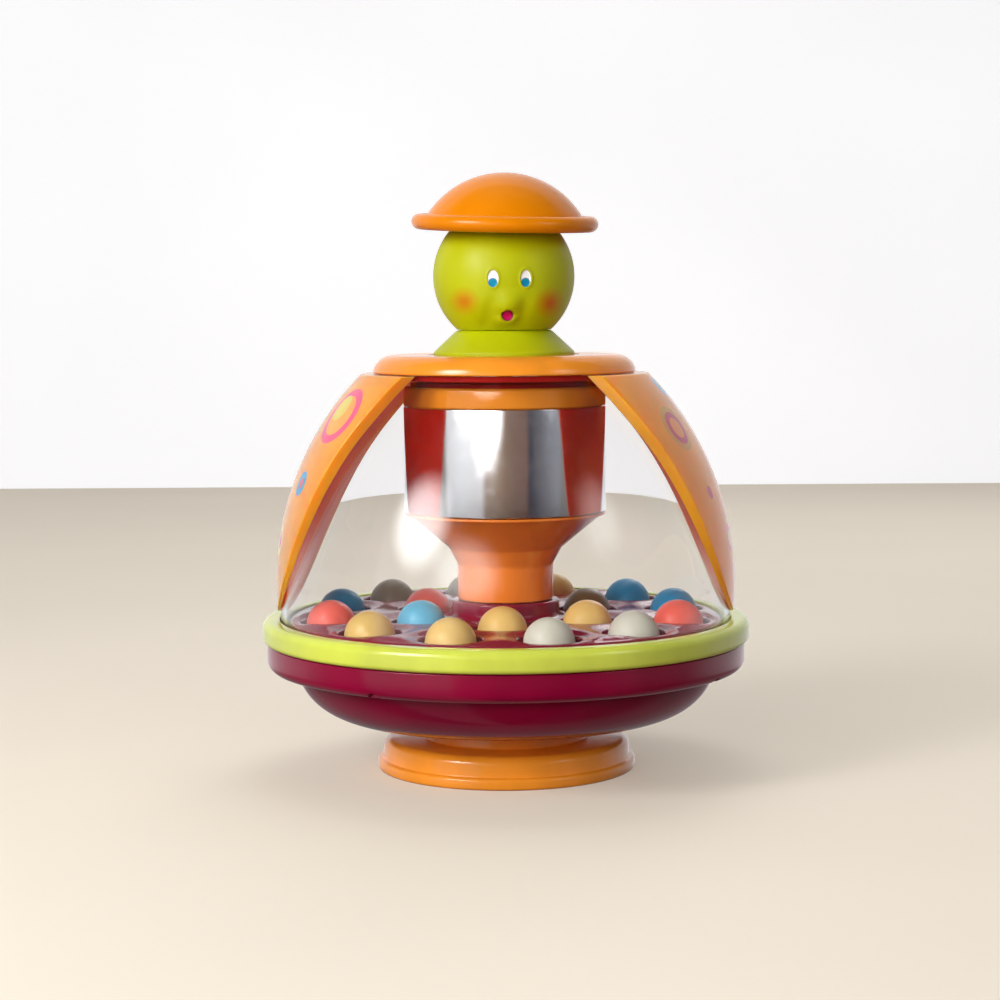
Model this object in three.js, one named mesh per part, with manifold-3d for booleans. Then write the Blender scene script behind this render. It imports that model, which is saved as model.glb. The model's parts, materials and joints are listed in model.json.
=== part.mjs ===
// A press-and-spin ball popper for babies: a footed bowl with a clear dome, a turning tray of
// loose balls round a mirrored drum, and a doll's head that is pressed down to spin the tray.
// Millimetres, +Z up, front towards -Y, origin on the floor under the middle of the foot.
// Angles round the axis are measured from the front towards +X, and heights rise from the floor.
import * as THREE from "three";
import { mergeVertices } from "three/addons/utils/BufferGeometryUtils.js";
import Module from "manifold-3d";

const wasm = await Module();
wasm.setup();

// Clearances
const SEAT_GAP = 0.3; // between pieces that seat on or in each other
const RUN_GAP = 0.4; // round a piece that turns or slides
const MERGE_TOLERANCE = 1e-4;

// Facets round a turned piece
const SIDES_LARGE = 28;
const SIDES_MEDIUM = 20;
const SIDES_SMALL = 8;

// Foot: a hollow spool with a rim, a rounded tier, a neck and a top plate
const FOOT_H = 21.7;
const FOOT_RIM_R = 53.1;
const FOOT_RIM_H = 4.6;
const FOOT_RIM_ROUND = 1.4;
const FOOT_TIER_R = 50.6;
const FOOT_TIER_H = 8.2;
const FOOT_TIER_ROUND = 3.4;
const FOOT_NECK_R = 34;
const FOOT_PLATE_R = 50;
const FOOT_PLATE_H = 2.3;
const FOOT_WALL = 2.6;

// Lower bowl: a flat floor and an elliptical side
const BOWL_INSET = 11.5; // bowl's widest place in from the band's side
const BOWL_SWELL = 26.5;
const BOWL_CURVE_H = 23.5;
const BOWL_H = 19.8;
const BOWL_WALL = 2.5;

// Upper band over the bowl
const BAND_INSET = 2; // band's side in from the ring's
const BAND_H = 11.3;
const BAND_ROUND = 4;
const BAND_LEDGE = 22.5; // how far the ledge reaches in from the band
const BAND_WALL = 2.6;
const BAND_LIP_H = 3;
const NOTCH_COUNT = 4;
const NOTCH_FIRST_DEG = -31.5;
const NOTCH_R = 3.2;
const NOTCH_REACH = 4; // how far a notch goes in from the band's side
const NOTCH_RISE = 2.2; // top of a notch over the band's underside

// Rim ring that clamps the dome
const RING_WIDTH = 7.7; // ring's outside beyond the dome's wall
const RING_H = 9.1;
const RING_TOP_ROUND = 3.5;
const RING_BOTTOM_ROUND = 1.8;
const RING_INNER_ROUND = 0.8;

// Clear dome: an upright skirt, then one arc up to the cap
const DOME_R = 92.3;
const DOME_H = 108.7;
const DOME_BELT_H = 12.3; // skirt height, where the arc starts
const DOME_TOP_R = 52;
const DOME_WALL = 2;
const DOME_FLANGE = 2.7;
const DOME_STEPS = 6; // facets up the arc

// Petal panels on the dome's sides
const PANEL_PROUD_BELT = 1.7;
const PANEL_PROUD_TOP = 6.6;
const PANEL_BELT_RISE = 10; // height of the panel's widest radius over the dome's
const PANEL_TIP_RISE = 2.2; // lower tip above the rim ring
const PANEL_TIP_HALF = 4;
const PANEL_HALF = 49.8; // half the widest chord
const PANEL_WIDE_DROP = 22.4; // widest chord below the panel's top
const PANEL_TOP_HALF = 45.3;
const PANEL_TIP_POWER = 2.45;
const PANEL_DEPTH = 8; // before the dome's room is cut out of it
const PANEL_TURN_DEG = -2; // both panels sit a little round from the sides
const PANEL_ROWS = 9;
const PANEL_COLUMNS = 8;

// Top cap
const CAP_OVERHANG = 1.6; // cap's edge beyond the dome's top edge
const CAP_H = 7.3;
const CAP_ROUND = 8.6;
const CAP_WALL = 2.4;
const CAP_COLLAR_WALL = 2.2;
const RETAINER_H = 2.4; // ring under the cap that centres it in the dome
const RETAINER_WALL = 4;

// Balls and their tray
const BALL_R = 10;
const BALL_SINK = 1.5; // ball centre below the tray's top
const OUTER_BALLS = 12;
const OUTER_BALL_INSET = 16; // outer balls' circle in from the tray's edge
const OUTER_FIRST_DEG = 13;
const INNER_BALLS = 6;
const INNER_BALL_OUTSET = 16.7; // inner balls' circle out from the hub
const INNER_FIRST_DEG = -2;
const POCKET_PLAY = 2.5;
const POCKET_WALL = 1.8;
const TRAY_GAP = 1.8; // tray's edge to the dome
const TRAY_PLATE_H = 2.5;
const TRAY_LIP = 2;
const HUB_R = 22;
const HUB_FLARE = 2.5;
const HUB_RISE = 6.7;
const HUB_DROP = 7;
const HUB_WALL = 2;
const HUB_PLATE_H = 3;

// Axle and bearings
const AXLE_R = 9;
const AXLE_SHOULDER_R = 13;
const AXLE_FLANGE_R = 27;
const AXLE_FLANGE_H = 4.7;
const BUSH_WALL = 2.6;
const BUSH_FLANGE = 2.2;
const BUSH_FLANGE_H = 1.7;
const WASHER_H = 1.2;
const AXLE_CAP_GRIP = 3.2;
const AXLE_CAP_H = 2.5;
const AXLE_CAP_WALL = 2.7;

// Column and drum
const COLUMN_R = 19.6;
const COLUMN_H = 35.9;
const COLUMN_STRAIGHT_H = 14.5;
const COLUMN_BULGE_R = 23.4;
const COLUMN_BULGE_H = 22.8;
const COLUMN_WALL = 2.2;
const COLUMN_FLOOR_H = 3.2;
const COLUMN_PLATE_H = 2.5;
const COLUMN_RIM_H = 1.1;
const COLUMN_BOSS_H = 20.8;
const DRUM_R = 41.3;
const SLEEVE_H = 42.7;
const SLEEVE_WALL = 1.2;
const SPIGOT_H = 4.3;
const SPIGOT_WALL = 2.2;
const DRUM_CAP_H = 8;
const DRUM_CAP_ROUND = 1.5;
const DRUM_CAP_PLATE_H = 1.4;
const DRUM_DISC_H = 2.6; // disc let into the drum cap's top
const DRUM_DISC_PROUD = 1.4; // disc's top over the drum cap's
const DRUM_DISC_EDGE = 2.6; // drum cap's edge beyond the disc's seat

// Twisted rod, drive nut and one-way clutch
const ROD_SIDE = 5.4;
const TWIST_LEAD = 20;
const TWIST_TURNS = 1.25;
const TWIST_STEPS = 40;
const TWIST_DROP = 8; // top of the twist below the neck's lower edge
const NUT_R = 9;
const NUT_H = 6;
const NUT_BORE_GAP = 0.5;
const NUT_CEILING = 1; // nut's top below its housing's ceiling, which is level with the drum cap's edge
const NUT_HOUSING_WALL = 3;
const TOOTH_COUNT = 8;
const TOOTH_H = 1.2;
const TOOTH_GAP = 0.5; // between the two rings of teeth while the clutch is open
const TOOTH_INNER_R = 5.3;
const CLUTCH_R = 12.7;
const CLUTCH_H = 2.2;
const ROD_FOOT_SIDE = 9;
const ROD_FOOT_H = 12;
const ROD_FOOT_FLOOR = 3;
const FOOT_PIN_R = 1;

// Return spring under the rod's foot
const SPRING_LENGTH = 42;
const SPRING_MEAN_R = 3.4;
const SPRING_WIRE_R = 0.5;
const SPRING_TURNS = 9;
const SPRING_STEPS = 8;
const SPRING_SIDES = 4;

// Neck, head and hat
const NECK_INSET = 0.1; // neck's foot inside the head's width
const NECK_TOP_R = 19.8;
const NECK_H = 10.2;
const NECK_LIP_H = 1.6;
const NECK_FLARE = 3; // neck's foot beyond its shoulder
const NECK_SHOULDER_H = 4.2;
const NECK_SINK = 0.4; // neck's lower edge below the cap's top
const NECK_PLAY = 2;
const NECK_WALL = 2.4;
const NECK_BOSS_R = 7;
const HEAD_R = 28.8;
const HEAD_FOOT_R = 19.2;
const HEAD_OPENING_R = 14;
const HEAD_RIM_R = 17;
const HEAD_FLOOR_H = 4;
const HEAD_WALL = 2.6;
const FACE_TURN_DEG = 3;
const MUZZLE_HALF_WIDTH = 6.5;
const MUZZLE_HALF_DEPTH = 3.6;
const MUZZLE_HALF_HEIGHT = 5.5;
const MUZZLE_DROP = 13.5; // below the middle of the head
const HAT_SEAT_RISE = 18.5; // hat's lower edge above the middle of the head
const HAT_PLAY = 0.9;
const HAT_LEAN_DEG = 1.4;
const HAT_NOD_DEG = 3;
const HAT_H = 23.6;
const HAT_WALL = 2.4;
const BRIM_R = 38;
const BRIM_ROLL = 3.2;
const CROWN_R = 31.4;
const CROWN_INNER_DROP = 9; // height where the crown's inside narrows to the seat
const HAT_SEAT_H = 4;

// Screws
const SCREW_R = 1.5;
const SCREW_HEAD_R = 3;
const SCREW_HEAD_H = 2;
const SCREW_COUNT = 3;
const FOOT_SCREW_CIRCLE = 20;
const BAND_SCREW_INSET = 18; // screws in from the band's side
const BAND_SCREW_FIRST_DEG = 18;
const BAND_BOSS_R = 4;
const BAND_BOSS_H = 5;
const COLUMN_SCREW_R = 1.3;
const COLUMN_SCREW_HEAD_R = 2.4;
const SCREW_TIP_GAP = 0.6;

// Heights that follow from the sizes, from the floor up
const BOWL_Z = FOOT_H + SEAT_GAP;
const BOWL_FLOOR_Z = BOWL_Z + BOWL_WALL;
const BOWL_TOP_Z = BOWL_Z + BOWL_H;
const BAND_Z = BOWL_TOP_Z + SEAT_GAP;
const BAND_TOP_Z = BAND_Z + BAND_H;
const RING_Z = BAND_TOP_Z + SEAT_GAP;
const RING_TOP_Z = RING_Z + RING_H;
const DOME_Z = RING_Z;
const DOME_TOP_Z = DOME_Z + DOME_H;
const CAP_Z = DOME_TOP_Z + SEAT_GAP;
const CAP_TOP_Z = CAP_Z + CAP_H;
const TRAY_TOP_Z = RING_TOP_Z;
const TRAY_PLATE_Z = TRAY_TOP_Z - TRAY_PLATE_H;
const BALL_Z = TRAY_TOP_Z - BALL_SINK;
const HUB_TOP_Z = TRAY_TOP_Z + HUB_RISE;
const HUB_Z = TRAY_TOP_Z - HUB_DROP;
const LOWER_BUSH_Z = HUB_Z - SEAT_GAP - BUSH_FLANGE_H;
const WASHER_Z = LOWER_BUSH_Z - SEAT_GAP - WASHER_H;
const AXLE_SHOULDER_Z = WASHER_Z - SEAT_GAP;
const AXLE_Z = BOWL_FLOOR_Z + SEAT_GAP;
const COLUMN_Z = HUB_TOP_Z + SEAT_GAP;
const COLUMN_TOP_Z = COLUMN_Z + COLUMN_H;
const COLUMN_BOSS_Z = COLUMN_TOP_Z + COLUMN_BOSS_H;
const UPPER_BUSH_Z = COLUMN_TOP_Z + SPIGOT_H;
const UPPER_BUSH_FLANGE_Z = COLUMN_BOSS_Z + SEAT_GAP;
const AXLE_CAP_Z = UPPER_BUSH_FLANGE_Z + BUSH_FLANGE_H + SEAT_GAP;
const AXLE_TOP_Z = AXLE_CAP_Z + AXLE_CAP_GRIP;
const SLEEVE_Z = COLUMN_TOP_Z + SEAT_GAP;
const SLEEVE_TOP_Z = SLEEVE_Z + SLEEVE_H;
const DRUM_CAP_Z = SLEEVE_TOP_Z + SEAT_GAP;
const DRUM_CAP_TOP_Z = DRUM_CAP_Z + DRUM_CAP_H;
const DRUM_DISC_TOP_Z = DRUM_CAP_TOP_Z + DRUM_DISC_PROUD;
const DRUM_DISC_Z = DRUM_DISC_TOP_Z - DRUM_DISC_H;
const DRUM_PLATE_TOP_Z = DRUM_DISC_Z - SEAT_GAP;
const DRUM_PLATE_Z = DRUM_PLATE_TOP_Z - DRUM_CAP_PLATE_H;
const NUT_TOP_Z = DRUM_CAP_Z - NUT_CEILING;
const NUT_Z = NUT_TOP_Z - NUT_H;
const CLUTCH_TOP_Z = NUT_Z - 2 * TOOTH_H - TOOTH_GAP;
const CLUTCH_Z = CLUTCH_TOP_Z - CLUTCH_H;
const NECK_R = HEAD_R - NECK_INSET;
const NECK_SHOULDER_R = NECK_R - NECK_FLARE;
const NECK_Z = CAP_TOP_Z - NECK_SINK;
const NECK_TOP_Z = NECK_Z + NECK_H;
const TWIST_TOP_Z = NECK_Z - TWIST_DROP;
const TWIST_Z = TWIST_TOP_Z - TWIST_LEAD * TWIST_TURNS;
const ROD_TOP_Z = NECK_TOP_Z - SEAT_GAP;
const ROD_FOOT_TOP_Z = AXLE_TOP_Z - SEAT_GAP;
const ROD_FOOT_Z = ROD_FOOT_TOP_Z - ROD_FOOT_H;
const ROD_Z = ROD_FOOT_Z + ROD_FOOT_FLOOR + SEAT_GAP;
const SPRING_Z = ROD_FOOT_Z - SEAT_GAP - SPRING_LENGTH;
const HEAD_Z = NECK_TOP_Z + SEAT_GAP;
const HEAD_MIDDLE_Z = HEAD_Z + Math.sqrt(HEAD_R ** 2 - HEAD_FOOT_R ** 2);
const HEAD_FLOOR_Z = HEAD_Z + HEAD_FLOOR_H;

// Radii that follow from the sizes
const SCREW_HOLE_R = SCREW_R + SEAT_GAP;
const COLUMN_SCREW_HOLE_R = COLUMN_SCREW_R + SEAT_GAP;
const BUSH_BORE_R = AXLE_R + RUN_GAP;
const BUSH_R = BUSH_BORE_R + BUSH_WALL;
const BUSH_FLANGE_R = BUSH_R + BUSH_FLANGE;
const BUSH_SEAT_R = BUSH_R + SEAT_GAP;
const SLEEVE_BORE_R = DRUM_R - SLEEVE_WALL;
const SPIGOT_R = SLEEVE_BORE_R - SEAT_GAP;
const SPIGOT_BORE_R = SPIGOT_R - SPIGOT_WALL;
const RING_R = DOME_R + RING_WIDTH;
const RING_BORE_R = DOME_R + SEAT_GAP;
const BAND_R = RING_R - BAND_INSET;
const BAND_SCREW_CIRCLE = BAND_R - BAND_SCREW_INSET;
const BOWL_FLAT_R = BAND_R - BOWL_INSET - BOWL_SWELL;
const DOME_FLANGE_R = DOME_R + DOME_FLANGE;
const CAP_R = DOME_TOP_R + CAP_OVERHANG;
const CAP_HOLE_R = NECK_R + NECK_PLAY;
const POCKET_R = BALL_R + POCKET_PLAY;
const TRAY_R = DOME_R - DOME_WALL - TRAY_GAP;
const OUTER_BALL_CIRCLE = TRAY_R - OUTER_BALL_INSET;
const INNER_BALL_CIRCLE = HUB_R + INNER_BALL_OUTSET;
const ROD_CORNER_R = (ROD_SIDE / 2) * Math.SQRT2;
const ROD_HOLE_R = ROD_CORNER_R + 2 * RUN_GAP;
const NUT_ROOM_R = NUT_R + 2 * RUN_GAP;
const CLUTCH_SEAT_R = CLUTCH_R + SEAT_GAP;
const HAT_SEAT_R = Math.sqrt(HEAD_R ** 2 - HAT_SEAT_RISE ** 2) + HAT_PLAY;
const DRUM_HUB_R = BUSH_SEAT_R + COLUMN_WALL;
const DRUM_DISC_R = DRUM_R - DRUM_DISC_EDGE - SEAT_GAP;
const COLUMN_SCREW_CIRCLE = (BUSH_SEAT_R + HUB_WALL + HUB_R - HUB_WALL) / 2;

// Finishes, as seen in daylight
const ORANGE = { color: 0xf39a3a, roughness: 0.3, metalness: 0 };
const HAT_ORANGE = { color: 0xe88c1a, roughness: 0.45, metalness: 0 };
const LIME = { color: 0xc6cb02, roughness: 0.5, metalness: 0 };
const RING_LIME = { color: 0xcfd65c, roughness: 0.3, metalness: 0 };
const MAROON = { color: 0x86092f, roughness: 0.25, metalness: 0 };
const CLEAR = { color: 0xffffff, roughness: 0.05, metalness: 0, transparent: true, opacity: 0.25 };
const MIRROR = { color: 0xe8e8ea, roughness: 0.08, metalness: 1 };
const STEEL = { color: 0xb8b8b8, roughness: 0.35, metalness: 1 };
const NYLON = { color: 0xe9e6dc, roughness: 0.5, metalness: 0 };
const BALL_YELLOW = { color: 0xdeb669, roughness: 0.5, metalness: 0 };
const BALL_WHITE = { color: 0xcdcbbe, roughness: 0.5, metalness: 0 };
const BALL_CORAL = { color: 0xee6455, roughness: 0.5, metalness: 0 };
const BALL_SKY = { color: 0x69b9d7, roughness: 0.5, metalness: 0 };
const BALL_BLUE = { color: 0x3287b4, roughness: 0.5, metalness: 0 };
const BALL_OLIVE = { color: 0x7a7048, roughness: 0.5, metalness: 0 };
const OUTER_FINISHES = [
  BALL_WHITE, BALL_WHITE, BALL_CORAL, BALL_BLUE, BALL_BLUE, BALL_WHITE,
  BALL_OLIVE, BALL_WHITE, BALL_BLUE, BALL_CORAL, BALL_YELLOW, BALL_YELLOW,
];
const INNER_FINISHES = [BALL_YELLOW, BALL_YELLOW, BALL_OLIVE, BALL_WHITE, BALL_CORAL, BALL_SKY];

/** A closed three.js geometry as a solid that can be joined and cut. */
function solidOf(geometry) {
  const bare = geometry.clone();
  bare.deleteAttribute("normal");
  bare.deleteAttribute("uv");
  const merged = mergeVertices(bare, MERGE_TOLERANCE);
  const vertProperties = merged.attributes.position.array;
  const triVerts = new Uint32Array(merged.index.array);
  return new wasm.Manifold(new wasm.Mesh({ numProp: 3, vertProperties, triVerts }));
}

/** A joined or cut solid as a three.js geometry. */
function geometryOf(solid) {
  const { vertProperties, triVerts } = solid.getMesh();
  const geometry = new THREE.BufferGeometry();
  geometry.setAttribute("position", new THREE.BufferAttribute(vertProperties, 3));
  geometry.setIndex(new THREE.BufferAttribute(triVerts, 1));
  return geometry;
}

/** The base geometry with others joined to it and then others cut from it. */
function shaped(base, joins, cuts) {
  let solid = solidOf(base);
  for (const geometry of joins) solid = solid.add(solidOf(geometry));
  for (const geometry of cuts) solid = solid.subtract(solidOf(geometry));
  return geometryOf(solid);
}

/** A geometry of given points and triangles. */
function facets(points, triangles) {
  const geometry = new THREE.BufferGeometry();
  geometry.setAttribute("position", new THREE.Float32BufferAttribute(points.flat(), 3));
  geometry.setIndex(triangles.flat());
  return geometry;
}

/** Points [radius, height] along an elliptical arc, angles in degrees from straight out. */
function arc(middle, radii, fromDeg, toDeg, steps) {
  const from = THREE.MathUtils.degToRad(fromDeg);
  const to = THREE.MathUtils.degToRad(toDeg);
  const curve = new THREE.EllipseCurve(...middle, ...radii, from, to, to < from);
  return curve.getPoints(steps).map((point) => [point.x, point.y]);
}

/** A solid of revolution about Z. A profile that leaves the axis free closes on itself. */
function turned(profile, sides) {
  const points = profile.map(([radius, height]) => new THREE.Vector2(radius, height));
  const onAxis = points[0].x === 0 && points.at(-1).x === 0;
  if (!onAxis) points.push(points[0].clone());
  const geometry = new THREE.LatheGeometry(points, sides);
  return geometry.rotateX(Math.PI / 2);
}

/** The place at a radius and an angle round the axis. */
function around(radius, degrees, height) {
  const angle = THREE.MathUtils.degToRad(degrees);
  return new THREE.Vector3(radius * Math.sin(angle), -radius * Math.cos(angle), height);
}

/** Places spread evenly on a circle. */
function onCircle(count, radius, firstDeg, height) {
  return Array.from({ length: count }, (_, i) => around(radius, firstDeg + (360 * i) / count, height));
}

/** Upright pegs from one height to another at each place. */
function pegs(places, radius, fromZ, toZ) {
  return places.map((place) => {
    const peg = new THREE.CylinderGeometry(radius, radius, toZ - fromZ, SIDES_SMALL);
    return peg.rotateX(Math.PI / 2).translate(place.x, place.y, (fromZ + toZ) / 2);
  });
}

/** A square block on the axis between two heights. */
function squareBlock(side, fromZ, toZ) {
  return new THREE.BoxGeometry(side, side, toZ - fromZ).translate(0, 0, (fromZ + toZ) / 2);
}

/** A pan-head screw with its head's underside at height 0 and its shank pointing down. */
function screw(length, radius, headRadius) {
  const profile = [
    [0, -length],
    [radius, -length],
    [radius, 0],
    [headRadius, 0],
    [headRadius, SCREW_HEAD_H / 2],
    [headRadius * 0.7, SCREW_HEAD_H],
    [0, SCREW_HEAD_H],
  ];
  return turned(profile, SIDES_SMALL);
}

/** A wall's arc that is upright at its belt and leans in to its top, with the radius at a height. */
function wallArc(beltR, beltZ, topR, topZ) {
  const rise = topZ - beltZ;
  const middleR = (beltR ** 2 - topR ** 2 - rise ** 2) / (2 * (beltR - topR));
  const radius = beltR - middleR;
  const radiusAt = (z, inset = 0) => middleR + Math.sqrt((radius - inset) ** 2 - (z - beltZ) ** 2);
  return { middleR, radius, beltZ, radiusAt };
}

const DOME_BELT_Z = DOME_Z + DOME_BELT_H;
const domeWall = wallArc(DOME_R, DOME_BELT_Z, DOME_TOP_R, DOME_TOP_Z);

/** Hollow spool with holes for the screws that hold it to the bowl. */
function baseFoot() {
  const tierTop = FOOT_RIM_H + FOOT_TIER_H;
  const plateZ = FOOT_H - FOOT_PLATE_H;
  const tierBore = FOOT_TIER_R - FOOT_WALL;
  const neckBore = FOOT_NECK_R - FOOT_WALL;
  const rim = FOOT_RIM_R - FOOT_RIM_ROUND;
  const rimRadii = [FOOT_RIM_ROUND, FOOT_RIM_ROUND];
  const tier = [FOOT_TIER_R - FOOT_TIER_ROUND, tierTop - FOOT_TIER_ROUND];
  const profile = [
    [0, plateZ],
    [neckBore, plateZ],
    [neckBore, tierTop - FOOT_WALL],
    [tierBore, tierTop - FOOT_WALL],
    [tierBore, 0],
    ...arc([rim, FOOT_RIM_ROUND], rimRadii, -90, 0, 1),
    ...arc([rim, FOOT_RIM_H - FOOT_RIM_ROUND], rimRadii, 0, 90, 2),
    [FOOT_TIER_R, FOOT_RIM_H],
    ...arc(tier, [FOOT_TIER_ROUND, FOOT_TIER_ROUND], 0, 90, 2),
    [FOOT_NECK_R, tierTop],
    [FOOT_NECK_R, plateZ],
    [FOOT_PLATE_R, plateZ],
    [FOOT_PLATE_R, FOOT_H],
    [0, FOOT_H],
  ];
  const holes = pegs(footScrewPlaces, SCREW_HOLE_R, plateZ - 1, FOOT_H + 1);
  return shaped(turned(profile, SIDES_LARGE), [], holes);
}

/** Bowl with a flat floor, and bosses inside its edge for the band's screws. */
function lowerBowl() {
  const middle = [BOWL_FLAT_R, BOWL_Z + BOWL_CURVE_H];
  const below = BOWL_CURVE_H - BOWL_H;
  const endAngle = (height) => -THREE.MathUtils.radToDeg(Math.asin(below / height));
  const inner = [BOWL_SWELL - BOWL_WALL, BOWL_CURVE_H - BOWL_WALL];
  const profile = [
    [0, BOWL_Z],
    ...arc(middle, [BOWL_SWELL, BOWL_CURVE_H], -90, endAngle(BOWL_CURVE_H), 5),
    ...arc(middle, inner, endAngle(inner[1]), -90, 4),
    [0, BOWL_FLOOR_Z],
  ];
  const bosses = pegs(bandScrewPlaces, BAND_BOSS_R, BOWL_TOP_Z - BAND_BOSS_H, BOWL_TOP_Z);
  const bossHoles = pegs(bandScrewPlaces, SCREW_HOLE_R, BOWL_TOP_Z - BAND_BOSS_H - 1, BOWL_TOP_Z + 1);
  const floorHoles = pegs(footScrewPlaces, SCREW_HOLE_R, BOWL_Z - 1, BOWL_FLOOR_Z + 1);
  return shaped(turned(profile, SIDES_LARGE), bosses, [...bossHoles, ...floorHoles]);
}

/** Band with an inward ledge on the bowl, a lip under the dome and notches in its lower edge. */
function upperBand() {
  const boreR = BAND_R - BAND_WALL;
  const ledgeTop = BAND_Z + BAND_WALL;
  const lipR = DOME_R - DOME_WALL / 2;
  const lipZ = BAND_TOP_Z - BAND_LIP_H;
  const round = [BAND_ROUND, BAND_ROUND];
  const profile = [
    [BAND_R - BAND_LEDGE, BAND_Z],
    ...arc([BAND_R - BAND_ROUND, BAND_Z + BAND_ROUND], round, -90, 0, 3),
    [BAND_R, BAND_TOP_Z],
    [lipR, BAND_TOP_Z],
    [lipR, lipZ],
    [boreR, lipZ - (boreR - lipR) / 2],
    [boreR, ledgeTop + BAND_ROUND / 2],
    [boreR - BAND_ROUND / 2, ledgeTop],
    [BAND_R - BAND_LEDGE, ledgeTop],
  ];
  const notches = Array.from({ length: NOTCH_COUNT }, (_, i) => {
    const degrees = NOTCH_FIRST_DEG + (360 * i) / NOTCH_COUNT;
    const place = around(BAND_R, degrees, BAND_Z + NOTCH_RISE - NOTCH_R);
    const roller = new THREE.CylinderGeometry(NOTCH_R, NOTCH_R, 2 * NOTCH_REACH, SIDES_MEDIUM);
    return roller.rotateZ(THREE.MathUtils.degToRad(degrees)).translate(place.x, place.y, place.z);
  });
  const holes = pegs(bandScrewPlaces, SCREW_HOLE_R, BAND_Z - 1, ledgeTop + 1);
  return shaped(turned(profile, SIDES_LARGE), [], [...notches, ...holes]);
}

/** Rounded ring with a rebate over the dome's flange. */
function rimRing() {
  const rebateR = DOME_FLANGE_R + SEAT_GAP;
  const rebateZ = RING_Z + DOME_FLANGE + SEAT_GAP;
  const low = [RING_R - RING_BOTTOM_ROUND, RING_Z + RING_BOTTOM_ROUND];
  const high = [RING_R - RING_TOP_ROUND, RING_TOP_Z - RING_TOP_ROUND];
  const profile = [
    [rebateR, RING_Z],
    ...arc(low, [RING_BOTTOM_ROUND, RING_BOTTOM_ROUND], -90, 0, 2),
    ...arc(high, [RING_TOP_ROUND, RING_TOP_ROUND], 0, 90, 3),
    [RING_BORE_R + RING_INNER_ROUND, RING_TOP_Z],
    [RING_BORE_R, RING_TOP_Z - RING_INNER_ROUND],
    [RING_BORE_R, rebateZ],
    [rebateR, rebateZ],
  ];
  return turned(profile, SIDES_LARGE);
}

/** Points up the dome's arc from its belt to its top, moved out from the outside by a distance. */
function domeArc(moved) {
  const radius = domeWall.radius + moved;
  const topDeg = THREE.MathUtils.radToDeg(Math.asin((DOME_TOP_Z - DOME_BELT_Z) / radius));
  return arc([domeWall.middleR, DOME_BELT_Z], [radius, radius], 0, topDeg, DOME_STEPS);
}

/** Clear shell of even wall with a flange round its foot. */
function clearDome() {
  const profile = [
    [DOME_R - DOME_WALL, DOME_Z],
    [DOME_FLANGE_R, DOME_Z],
    [DOME_FLANGE_R, DOME_Z + DOME_FLANGE],
    [DOME_R, DOME_Z + DOME_FLANGE],
    ...domeArc(0),
    ...domeArc(-DOME_WALL).reverse(),
  ];
  return turned(profile, SIDES_LARGE);
}

/** Half the panel's chord at a height: a blunt rounded tip below, drawn in a little at the top. */
function panelHalfChord(z, tipZ) {
  const wideZ = DOME_TOP_Z - PANEL_WIDE_DROP;
  if (z > wideZ) {
    const share = (z - wideZ) / PANEL_WIDE_DROP;
    return PANEL_HALF - (PANEL_HALF - PANEL_TOP_HALF) * share ** 2;
  }
  const share = (wideZ - z) / (wideZ - tipZ);
  const half = PANEL_HALF * (1 - share ** PANEL_TIP_POWER) ** (1 / PANEL_TIP_POWER);
  return Math.max(half, PANEL_TIP_HALF);
}

/** Petal shell on the dome's side, centred on an angle round the axis and cut to the dome. */
function sidePanel(middleDeg) {
  const beltZ = DOME_BELT_Z + PANEL_BELT_RISE;
  const face = wallArc(DOME_R + PANEL_PROUD_BELT, beltZ, DOME_TOP_R + PANEL_PROUD_TOP, DOME_TOP_Z);
  const tipZ = RING_TOP_Z + PANEL_TIP_RISE;
  const points = [];
  for (let row = 0; row <= PANEL_ROWS; row++) {
    const share = 1 - Math.cos((Math.PI / 2) * (row / PANEL_ROWS));
    const z = tipZ + (DOME_TOP_Z - tipZ) * share;
    const outerR = face.radiusAt(z);
    const halfDeg = THREE.MathUtils.radToDeg(Math.asin(panelHalfChord(z, tipZ) / outerR));
    const stepDeg = (2 * halfDeg) / PANEL_COLUMNS;
    const innerR = outerR - PANEL_DEPTH;
    for (let column = 0; column <= PANEL_COLUMNS; column++) {
      const angle = middleDeg - halfDeg + stepDeg * column;
      points.push(around(outerR, angle, z).toArray(), around(innerR, angle, z).toArray());
    }
  }
  const OUTER = 0;
  const INNER = 1;
  const at = (row, column, side) => 2 * (row * (PANEL_COLUMNS + 1) + column) + side;
  const triangles = [];
  const quad = (a, b, c, d) => triangles.push([a, b, c], [a, c, d]);
  for (let row = 0; row < PANEL_ROWS; row++) {
    const next = row + 1;
    for (let column = 0; column < PANEL_COLUMNS; column++) {
      const beside = column + 1;
      quad(at(row, column, OUTER), at(row, beside, OUTER), at(next, beside, OUTER), at(next, column, OUTER));
      quad(at(row, column, INNER), at(next, column, INNER), at(next, beside, INNER), at(row, beside, INNER));
    }
    const last = PANEL_COLUMNS;
    quad(at(row, 0, OUTER), at(next, 0, OUTER), at(next, 0, INNER), at(row, 0, INNER));
    quad(at(row, last, OUTER), at(row, last, INNER), at(next, last, INNER), at(next, last, OUTER));
  }
  for (let column = 0; column < PANEL_COLUMNS; column++) {
    const beside = column + 1;
    const top = PANEL_ROWS;
    quad(at(0, column, OUTER), at(0, column, INNER), at(0, beside, INNER), at(0, beside, OUTER));
    quad(at(top, column, OUTER), at(top, beside, OUTER), at(top, beside, INNER), at(top, column, INNER));
  }
  const domeSide = domeArc(SEAT_GAP);
  const domeRoom = turned([
    [0, DOME_Z],
    [domeSide[0][0], DOME_Z],
    ...domeSide,
    [domeSide.at(-1)[0], DOME_TOP_Z + 1],
    [0, DOME_TOP_Z + 1],
  ], SIDES_LARGE);
  return shaped(facets(points, triangles), [], [domeRoom]);
}

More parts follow.
